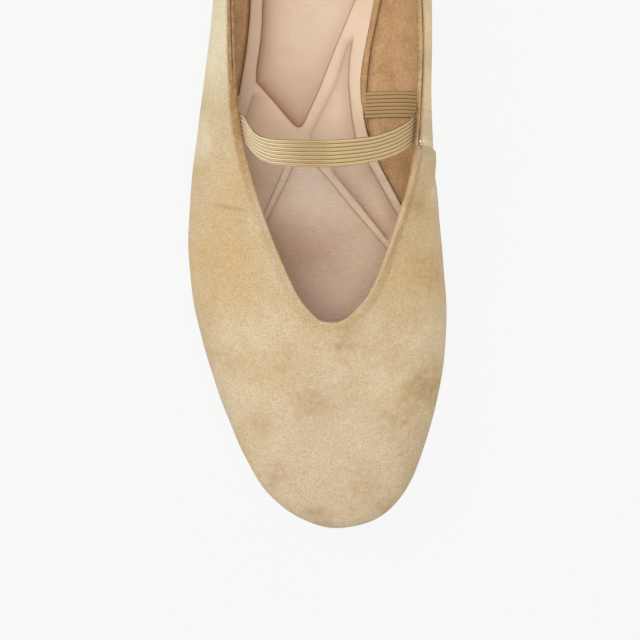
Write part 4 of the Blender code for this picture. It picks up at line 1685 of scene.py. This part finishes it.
@dataclass(frozen=True)
class Relief:
    """Moulded relief of the footbed: sunk fields and steps, with shading in their corners."""

    fields: tuple[Panel, ...] = FIELDS
    steps: tuple[Step, ...] = STEPS
    pull: float = 1.6
    crowding: float = 1.9
    light: tuple[float, float] = (0.75, 0.66)
    rays: int = 8
    corner_dark: float = 0.26
    shadow_dark: float = 0.43
    # Painted shadow (dusk) and painted highlight (gleam) near the ball field.
    dusk_dark: float = 0.13
    gleam_at: Spot = Spot(-2.8, 110.9)
    gleam_size: Spot = Spot(11.0, 8.0)
    dusk_at: Spot = Spot(-3.0, 87.5)
    dusk_size: Spot = Spot(11.0, 5.0)

    def crowd(self, x: np.ndarray, along: np.ndarray) -> tuple[np.ndarray, np.ndarray]:
        """Moves grid places towards the nearest crisp line, so that the step gets a sharp corner.

        Args:
            x: places across the shoe.
            along: places along the shoe.

        Returns:
            The moved places.
        """
        best = np.full(x.shape, 1e9)
        foot_x = x.copy()
        foot_along = along.copy()
        for item in (*self.fields, *self.steps):
            if item.soft > 0.5:
                continue
            near = nearest_on(x, along, item.line())
            closer = near.off < best
            best = np.where(closer, near.off, best)
            foot_x = np.where(closer, near.foot_x, foot_x)
            foot_along = np.where(closer, near.foot_along, foot_along)
        share = np.clip(best / self.pull, 1e-6, 1.0)
        keep = np.where(best < self.pull, share ** (self.crowding - 1.0), 1.0)
        return foot_x + (x - foot_x) * keep, foot_along + (along - foot_along) * keep

    def corner_shade(self, signed: np.ndarray, near: Nearest, x: np.ndarray, along: np.ndarray,
                     item: Panel | Step) -> np.ndarray:
        """Darkness next to a step: deeper on the side that lies away from the light.

        Args:
            signed: distance into the sunk side.
            near: nearest places on the line.
            x: places across the shoe.
            along: places along the shoe.
            item: the field or step.

        Returns:
            Darkness of 0 to 1.
        """
        fading = np.exp(-np.maximum(signed, 0.0) / item.fall)
        if isinstance(item, Panel):
            thrown = self.cast(item, x, along)
        else:
            facing = (x - near.foot_x) * self.light[0] + (along - near.foot_along) * self.light[1]
            thrown = np.clip(facing / np.maximum(near.off, 1e-6), 0.0, 1.0) * fading
        amount = (self.corner_dark * fading + self.shadow_dark * thrown) * item.shadow
        inside = np.where(signed > 0.0, 1.0, np.exp(np.minimum(signed, 0.0) / 0.35) * 0.4)
        crisp = 0.45 if item.soft < 0.5 else 0.15
        crease = np.exp(-(signed / max(item.soft, 0.25)) ** 2) * crisp * item.shadow
        return np.maximum(amount * inside, crease)

    def cast(self, item: Panel, x: np.ndarray, along: np.ndarray) -> np.ndarray:
        """Soft shadow that the raised ground around a field throws into it.

        Args:
            item: the field.
            x: places across the shoe.
            along: places along the shoe.

        Returns:
            Share of the light that is hidden.
        """
        total = np.zeros(x.shape)
        for index in range(self.rays):
            far = -item.fall * math.log(1.0 - (index + 0.5) / self.rays)
            signed, _ = item.signed(x - far * self.light[0], along - far * self.light[1])
            total += ease(0.5 - signed / (0.5 + 0.7 * far))
        return total / self.rays

    def glow(self, x: np.ndarray, along: np.ndarray, at: Spot, size: Spot) -> np.ndarray:
        """Soft oval around a place, such as the shine of the bend before the ball field."""
        return np.exp(-((x - at.x) / size.x) ** 2 - ((along - at.along) / size.along) ** 2)

    def form(self, x: np.ndarray, along: np.ndarray) -> tuple[np.ndarray, np.ndarray]:
        """Height in millimetres and painted shade at given places.

        Args:
            x: places across the shoe.
            along: places along the shoe.

        Returns:
            Heights, and painted shade of 0 to 1.
        """
        height = np.zeros(x.shape)
        dark = np.zeros(x.shape)
        for panel in self.fields:
            signed, near = panel.signed(x, along)
            bowl = 1.0 - 0.25 * ease(signed / 12.0)
            height -= panel.depth * ease(signed / panel.soft + 0.5) * bowl
            dark = dark + (1.0 - dark) * self.corner_shade(signed, near, x, along, panel)
            if panel.gloom is not None:
                gloom = panel.gloom
                deep = (gloom.amount + gloom.tilt * x) * ease((gloom.start - along) / gloom.reach)
                dark = dark + (1.0 - dark) * np.clip(deep, 0.0, 1.0) * ease(signed / 1.2 + 0.5)
        for step in self.steps:
            signed, near = step.signed(x, along)
            away = signed * math.copysign(1.0, step.depth)
            ends = ease(near.run / step.taper) * ease((near.length - near.run) / step.taper)
            sunk = ease(away / step.soft + 0.5) * (1.0 - ease(np.maximum(away, 0.0) / step.reach))
            height -= abs(step.depth) * sunk * ends
            dark = dark + (1.0 - dark) * self.corner_shade(away, near, x, along, step) * ends
        # Painted shadow below the highlight before the ball field.
        dark = dark + (1.0 - dark) * self.dusk_dark * self.glow(x, along, self.dusk_at, self.dusk_size)
        return height, np.clip(dark, 0.0, 1.0)


@dataclass
class Footbed:
    """Moulded leather footbed with sunk fields between raised bands."""

    last: Last
    relief: Relief = field(default_factory=Relief)
    across: int = 150
    along: int = 480
    edge_roll: float = 0.8 * MM
    wall_dark: float = 0.20
    shade_gain: float = 1.15
    rim_shade: float = 0.9

    def edge_point(self, turns: np.ndarray) -> np.ndarray:
        """Edge of the footbed seen from above.

        Args:
            turns: one turn for each column.

        Returns:
            Points with X and Y in the last axis.
        """
        last = self.last
        corner = last.shell(turns, np.zeros_like(turns), last.wall)[..., :2]
        return corner + last.inward(turns) * last.clearance

    def build(self) -> bpy.types.Object:
        """Makes the footbed: a fine grid for the top, a rim and a plain underside.

        Returns:
            The object.
        """
        last = self.last
        marks = np.linspace(0.0, 1.0, self.along)
        turns = turn_at(np.interp(marks, (0.0, 0.12, 0.90, 1.0), (0.0, 0.24, 0.95, 1.0)))
        outer = self.edge_point(-turns)
        inner = self.edge_point(turns)
        shares = np.linspace(0.0, 1.0, self.across + 1)
        flat = outer[None] + (inner - outer)[None] * shares[:, None, None]
        margin = np.minimum(np.linalg.norm(flat - outer[None], axis=-1),
                            np.linalg.norm(flat - inner[None], axis=-1))
        half = last.length / MM / 2.0
        x = flat[..., 0] / MM
        along = flat[..., 1] / MM + half
        moved_x, moved_along = self.relief.crowd(x, along)
        free = ease(margin / (2.0 * MM))
        x = x + (moved_x - x) * free
        along = along + (moved_along - along) * free
        height, dark = self.relief.form(x, along)
        beside = np.linalg.norm(flat - outer[None], axis=-1) / MM
        # Painted shadow of the outer wall along the footbed's outer side, from the waist to the heel.
        dark = dark + (1.0 - dark) * self.wall_dark * np.exp(-beside / 6.0) * ease((along - 112.0) / 12.0)
        y = (along - half) * MM
        roll = self.edge_roll - np.clip(margin, 0.0, self.edge_roll)
        drop = self.edge_roll - np.sqrt(np.maximum(self.edge_roll ** 2 - roll ** 2, 0.0))
        top = last.insole_top(y) + height * MM - drop * 0.7
        face = np.stack((x * MM, y, top), axis=-1)
        under = face[[-1, 0]]
        under[..., 2] = last.sole_top(under[..., 1]) + last.clearance
        face = np.concatenate((face, under))
        # Painted highlight before the ball field, which also lightens the painted shade; the rim gets painted
        # shade where the footbed meets the lining.
        gleam = self.relief.glow(x, along, self.relief.gleam_at, self.relief.gleam_size)
        shade = np.clip(dark * self.shade_gain * (1.0 - 0.50 * gleam), 0.0, 1.0)
        shade[[0, -1]] = self.rim_shade
        values = {"shade": np.concatenate((shade, shade[[-1, 0]])),
                  "gleam": np.concatenate((gleam, gleam[[-1, 0]]))}
        return Sheet("footbed", face, None, values).build(closed_columns=True, sharp=60.0)

    def dress(self) -> list[bpy.types.Object]:
        """Builds and dresses the footbed.

        Returns:
            The piece, in a list.
        """
        piece = dress(self.build(), FootbedFinish().make(), Slot.FOOTBED)
        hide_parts("insole")
        return [piece]


@dataclass
class Elastic:
    """Ribbed band over the throat with its ends down the walls."""

    last: Last
    width: float = 8.5 * MM
    thickness: float = 1.0 * MM
    gap: float = 0.10 * MM
    lift: float = 0.40 * MM
    end_rise: float = 0.30 * MM
    foot_share: float = 0.5505
    collar_share: float = 0.507
    ribs: int = 7
    rib_steps: int = 8
    rib_depth: float = 0.32 * MM
    tail_steps: int = 10
    steps: int = 280

    def tail(self, foot: Foot) -> list[np.ndarray]:
        """Places up the inside of one wall, each with the direction of the band's width.

        Args:
            foot: side of the shoe.

        Returns:
            Rows of a place and a direction.
        """
        last = self.last
        side = foot.value
        foot_turn = side * turn_at(self.foot_share)
        fine = np.linspace(0.0, 1.0, 80)
        deep = last.inside(np.full_like(fine, foot_turn), fine, last.wall + self.gap + self.thickness / 2.0)
        lowest = float(np.interp(self.end_rise, deep[:, 2] - last.insole_top(deep[:, 1]), fine))
        rows = []
        for index in range(self.tail_steps + 1):
            amount = index / self.tail_steps
            share = self.foot_share + (self.collar_share - self.foot_share) * amount ** 2
            turn = np.array(side * turn_at(share))
            level = np.array(lowest + (2.0 - lowest) * amount)
            depth = last.wall + self.gap + self.lift * amount ** 3 + self.thickness / 2.0
            small = 0.01
            onward = last.inside(turn + small, level, last.wall) - last.inside(turn - small, level, last.wall)
            rows.append(np.concatenate((last.inside(turn, level, depth), unit(onward) * side)))
        return rows

    def path(self) -> np.ndarray:
        """Even rows of place, width direction and length along the whole band.

        Returns:
            The rows, with seven numbers each.
        """
        outer = self.tail(Foot.OUTER)
        inner = self.tail(Foot.INNER)
        rows = list(outer)
        for bend in BAND:
            row = outer[-1] + (inner[-1] - outer[-1]) * bend.across
            tilt = math.radians(bend.tilt)
            row[1] -= bend.forward * self.last.length
            row[2] += bend.rise * self.last.instep_height
            row[3:] = (0.0, math.cos(tilt), math.sin(tilt))
            rows.append(row)
        rows += inner[::-1]
        points = np.array(rows)
        before = np.vstack((2.0 * points[0] - points[1], points[:-1]))
        after = np.vstack((points[1:], 2.0 * points[-1] - points[-2]))
        tangents = (after - before) / 6.0
        pieces = 24
        fine = [bezier(points[index], points[index] + tangents[index],
                       points[index + 1] - tangents[index + 1], points[index + 1], np.array(step / pieces))
                for index in range(len(points) - 1) for step in range(pieces)]
        table = np.array([*fine, points[-1]])
        run = np.concatenate(([0.0], np.cumsum(np.linalg.norm(np.diff(table[:, :3], axis=0), axis=1))))
        marks = np.linspace(0.0, run[-1], self.steps + 1)
        even = np.stack([np.interp(marks, run, column) for column in table.T], axis=1)
        return np.column_stack((even, marks))

    def section(self) -> tuple[np.ndarray, np.ndarray]:
        """Outline of the band, places across and through it, and the rib height at each.

        Returns:
            The outline and the rib heights.
        """
        count = self.ribs * self.rib_steps
        place = np.linspace(0.0, 1.0, count + 1)
        crest = np.abs(np.sin(math.pi * self.ribs * place)) ** 0.55
        thick = self.thickness / 2.0 - self.rib_depth * (1.0 - crest)
        across = (place - 0.5) * self.width
        top = np.stack((across, thick))
        under = np.stack((across[::-1], -thick[::-1]))
        return np.concatenate((top, under), axis=1), np.concatenate((crest, crest[::-1]))

    def build(self) -> bpy.types.Object:
        """Sweeps the section along the path.

        Returns:
            The object.
        """
        rows = self.path()
        outline, crest = self.section()
        before = np.vstack((rows[:1], rows[:-1]))[:, :3]
        after = np.vstack((rows[1:], rows[-1:]))[:, :3]
        along = unit(after - before)
        across = rows[:, 3:6]
        across = unit(across - along * np.sum(across * along, axis=1, keepdims=True))
        outwards = np.cross(along, across)
        face = (rows[:, None, :3] + across[:, None] * outline[0][None, :, None]
                + outwards[:, None] * outline[1][None, :, None])
        face = np.swapaxes(face, 0, 1)
        shape = face.shape[:2]
        chart = np.stack((np.broadcast_to(rows[:, 6], shape),
                          np.broadcast_to((outline[0] / self.width + 0.5)[:, None], shape)), axis=-1)
        values = {"rib": np.broadcast_to(crest[:, None], shape)}
        sheet = Sheet("elastic_band", face, None, values, chart)
        return sheet.build(closed_columns=True, cap=True, sharp=80.0)

    def dress(self) -> list[bpy.types.Object]:
        """Builds and dresses the band.

        Returns:
            The piece, in a list.
        """
        piece = dress(self.build(), ElasticFinish(self.ribs).make(), Slot.ELASTIC)
        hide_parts("strap")
        return [piece]


@dataclass
class SoleUnit:
    """Outsole and stacked heel."""

    last: Last
    margin: float = 0.6 * MM
    taper: float = 1.2 * MM
    breast_share: float = 0.75
    across: int = 12
    stations: int = 150
    edge_round: float = 0.35 * MM

    def edge(self, turns: np.ndarray, inset: float = 0.0) -> np.ndarray:
        """Edge of the sole seen from above, drawn in by an inset."""
        return self.last.feather_point(turns) + self.last.inward(turns) * (inset - self.margin)

    def plate(self, name: str, turns: np.ndarray, top: Callable[[np.ndarray], np.ndarray],
              foot: Callable[[np.ndarray], np.ndarray], foot_inset: float) -> bpy.types.Object:
        """Plate between two heights with rounded edges.

        Args:
            name: name of the piece.
            turns: from the front of the plate to its back.
            top: height of the top at places along Y.
            foot: height of the underside at places along Y.
            foot_inset: how far the underside is drawn in.

        Returns:
            The object.
        """
        shares = np.linspace(0.0, 1.0, self.across + 1)[:, None, None]
        upper = self.edge(-turns)[None] + (self.edge(turns) - self.edge(-turns))[None] * shares
        low_outer = self.edge(-turns, foot_inset)
        low_inner = self.edge(turns, foot_inset)
        lower = low_outer[None] + (low_inner - low_outer)[None] * shares
        face = np.concatenate((upper, top(upper[..., 1])[..., None]), axis=-1)
        back = np.concatenate((lower, foot(lower[..., 1])[..., None]), axis=-1)
        piece = Sheet(name, face, back).build(sharp=35.0)
        bevel = piece.modifiers.new("rounded_edge", "BEVEL")
        bevel.width = self.edge_round
        bevel.segments = 3
        bevel.limit_method = "ANGLE"
        bevel.angle_limit = math.radians(50.0)
        return piece

    def dress(self) -> list[bpy.types.Object]:
        """Builds and dresses the outsole and the heel.

        Returns:
            Both pieces.
        """
        last = self.last
        rubber = PlainFinish("sole_rubber", srgb(176, 146, 108), srgb(150, 120, 84), 0.62, 900.0,
                             0.00015).make()
        stack = PlainFinish("heel_stack", srgb(156, 124, 88), srgb(126, 96, 64), 0.55, 700.0, 0.00012).make()
        turns = np.linspace(0.0, math.pi, self.stations)
        tread = self.plate("tread", turns, last.sole_top, last.sole_bottom, 0.0)
        heel_turns = np.linspace(float(turn_at(self.breast_share)), math.pi, self.stations // 3)
        block = self.plate("heel_block", heel_turns, lambda y: last.sole_bottom(y) - last.clearance,
                           lambda y: np.zeros_like(y), self.taper)
        dress(tread, rubber, Slot.SOLE)
        dress(block, stack, Slot.HEEL)
        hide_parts("outsole")
        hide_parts("heel")
        return [tread, block]


@dataclass
class Stitches:
    """Two bar tacks that hold the vamp to the quarter at the collar."""

    last: Last
    seam_share: float = 0.4965
    thickness: float = 0.46 * MM
    length: float = 0.42 * MM
    places: tuple[float, ...] = (0.45 * MM, 2.90 * MM)
    lift: float = 0.32 * MM

    def build(self) -> bpy.types.Object:
        """Makes both tacks as one piece of rounded bars.

        Returns:
            The object.
        """
        last = self.last
        shape = bmesh.new()
        turn = turn_at(np.array([self.seam_share]))
        levels = last.levels_below_collar(turn, self.places, 4)[0, :len(self.places)]
        for level in levels:
            where = turn[0], np.array(level)
            normal, upward, onward = last.frames(*where)
            middle = last.surface(*where) + normal * self.lift
            made = bmesh.ops.create_uvsphere(shape, u_segments=16, v_segments=10, radius=1.0)
            for corner in made["verts"]:
                local = np.array(corner.co)
                corner.co = (middle + onward * local[0] * self.length + upward * local[1] * self.thickness
                             + normal * local[2] * self.thickness * 0.7)
        bmesh.ops.recalc_face_normals(shape, faces=shape.faces)
        return piece_from("bar_tacks", shape, 80.0)

    def dress(self) -> list[bpy.types.Object]:
        """Builds and dresses the tacks."""
        thread = PlainFinish("pale_thread", srgb(255, 246, 238), srgb(244, 228, 214), 0.7, 3000.0, 0.00005)
        return [dress(self.build(), thread.make(), Slot.THREAD)]


class Lamp(NamedTuple):
    """Square lamp aimed at the shoe."""

    name: str
    place: tuple[float, float, float]
    size: float
    power: float


@dataclass
class Studio:
    """Pale floor, soft light and a camera straight above the toe part."""

    half_length: float
    pixel: float = 0.322 * MM
    pixel_height: float = 0.020
    camera_height: float = 1.300
    picture: int = 640
    centre_x: float = 0.805 * MM
    centre_along: float = 67.0 * MM
    sensor: float = 36.0
    floor_size: float = 3.0
    floor_glow: float = 0.90
    sky: float = 0.38
    lamps: tuple[Lamp, ...] = (
        Lamp("key_light", (-0.75, 0.35, 0.95), 0.55, 2.6),
        Lamp("top_light", (-0.12, 0.08, 1.60), 0.95, 14.0),
        Lamp("fill_light", (0.75, 0.85, 0.55), 0.60, 1.9),
    )

    def camera(self) -> None:
        """Camera that looks straight down with the toe at the bottom of the picture."""
        data = bpy.data.cameras.new("camera")
        half_field = self.picture / 2.0 * self.pixel / (self.camera_height - self.pixel_height)
        data.sensor_width = self.sensor
        data.lens = self.sensor / 2.0 / half_field
        data.clip_start = 0.05
        data.clip_end = 20.0
        eye = bpy.data.objects.new("camera", data)
        eye.location = (self.centre_x, self.centre_along - self.half_length, self.camera_height)
        bpy.context.scene.collection.objects.link(eye)
        bpy.context.scene.camera = eye

    def floor(self) -> None:
        """Pale floor with a glow of its own, so that the shoe hardly shades it."""
        shape = bmesh.new()
        bmesh.ops.create_grid(shape, x_segments=1, y_segments=1, size=self.floor_size / 2.0)
        plane = piece_from("floor", shape)
        graph = Graph("pale_floor")
        plane.data.materials.append(graph.finish(
            base_color=(0.04, 0.04, 0.04), roughness=0.9, specular_ior_level=0.0,
            emission_color=(1.0, 1.0, 1.0), emission_strength=self.floor_glow))

    def lights(self) -> None:
        """Even sky, a broad lamp above, a small one from the left and a softer one from the right."""
        world = bpy.data.worlds.new("soft_sky")
        world.use_nodes = True
        background = world.node_tree.nodes["Background"]
        background.inputs[0].default_value = (1.0, 1.0, 1.0, 1.0)
        background.inputs[1].default_value = self.sky
        bpy.context.scene.world = world
        for lamp in self.lamps:
            data = bpy.data.lights.new(lamp.name, "AREA")
            data.shape = "SQUARE"
            data.size = lamp.size
            data.energy = lamp.power
            made = bpy.data.objects.new(lamp.name, data)
            made.location = lamp.place
            made.rotation_mode = "QUATERNION"
            made.rotation_quaternion = (-Vector(lamp.place)).to_track_quat("-Z", "Y")
            bpy.context.scene.collection.objects.link(made)

    def set_up(self) -> None:
        """Makes the whole studio."""
        self.camera()
        self.floor()
        self.lights()
        bpy.context.scene.view_settings.view_transform = "Standard"
        bpy.context.scene.view_settings.look = "None"


def main() -> None:
    """Builds and dresses the shoe in order and reports each piece."""
    logging.basicConfig(level=logging.INFO, format="%(name)s: %(message)s")
    last = Last()
    Studio(last.length / 2.0).set_up()
    for unit in (SoleUnit(last), Footbed(last), Upper(last), Elastic(last), Stitches(last)):
        for piece in unit.dress():
            LOG.info("%s: %d faces", piece.name, len(piece.data.polygons))


if __name__ == "__main__":
    main()
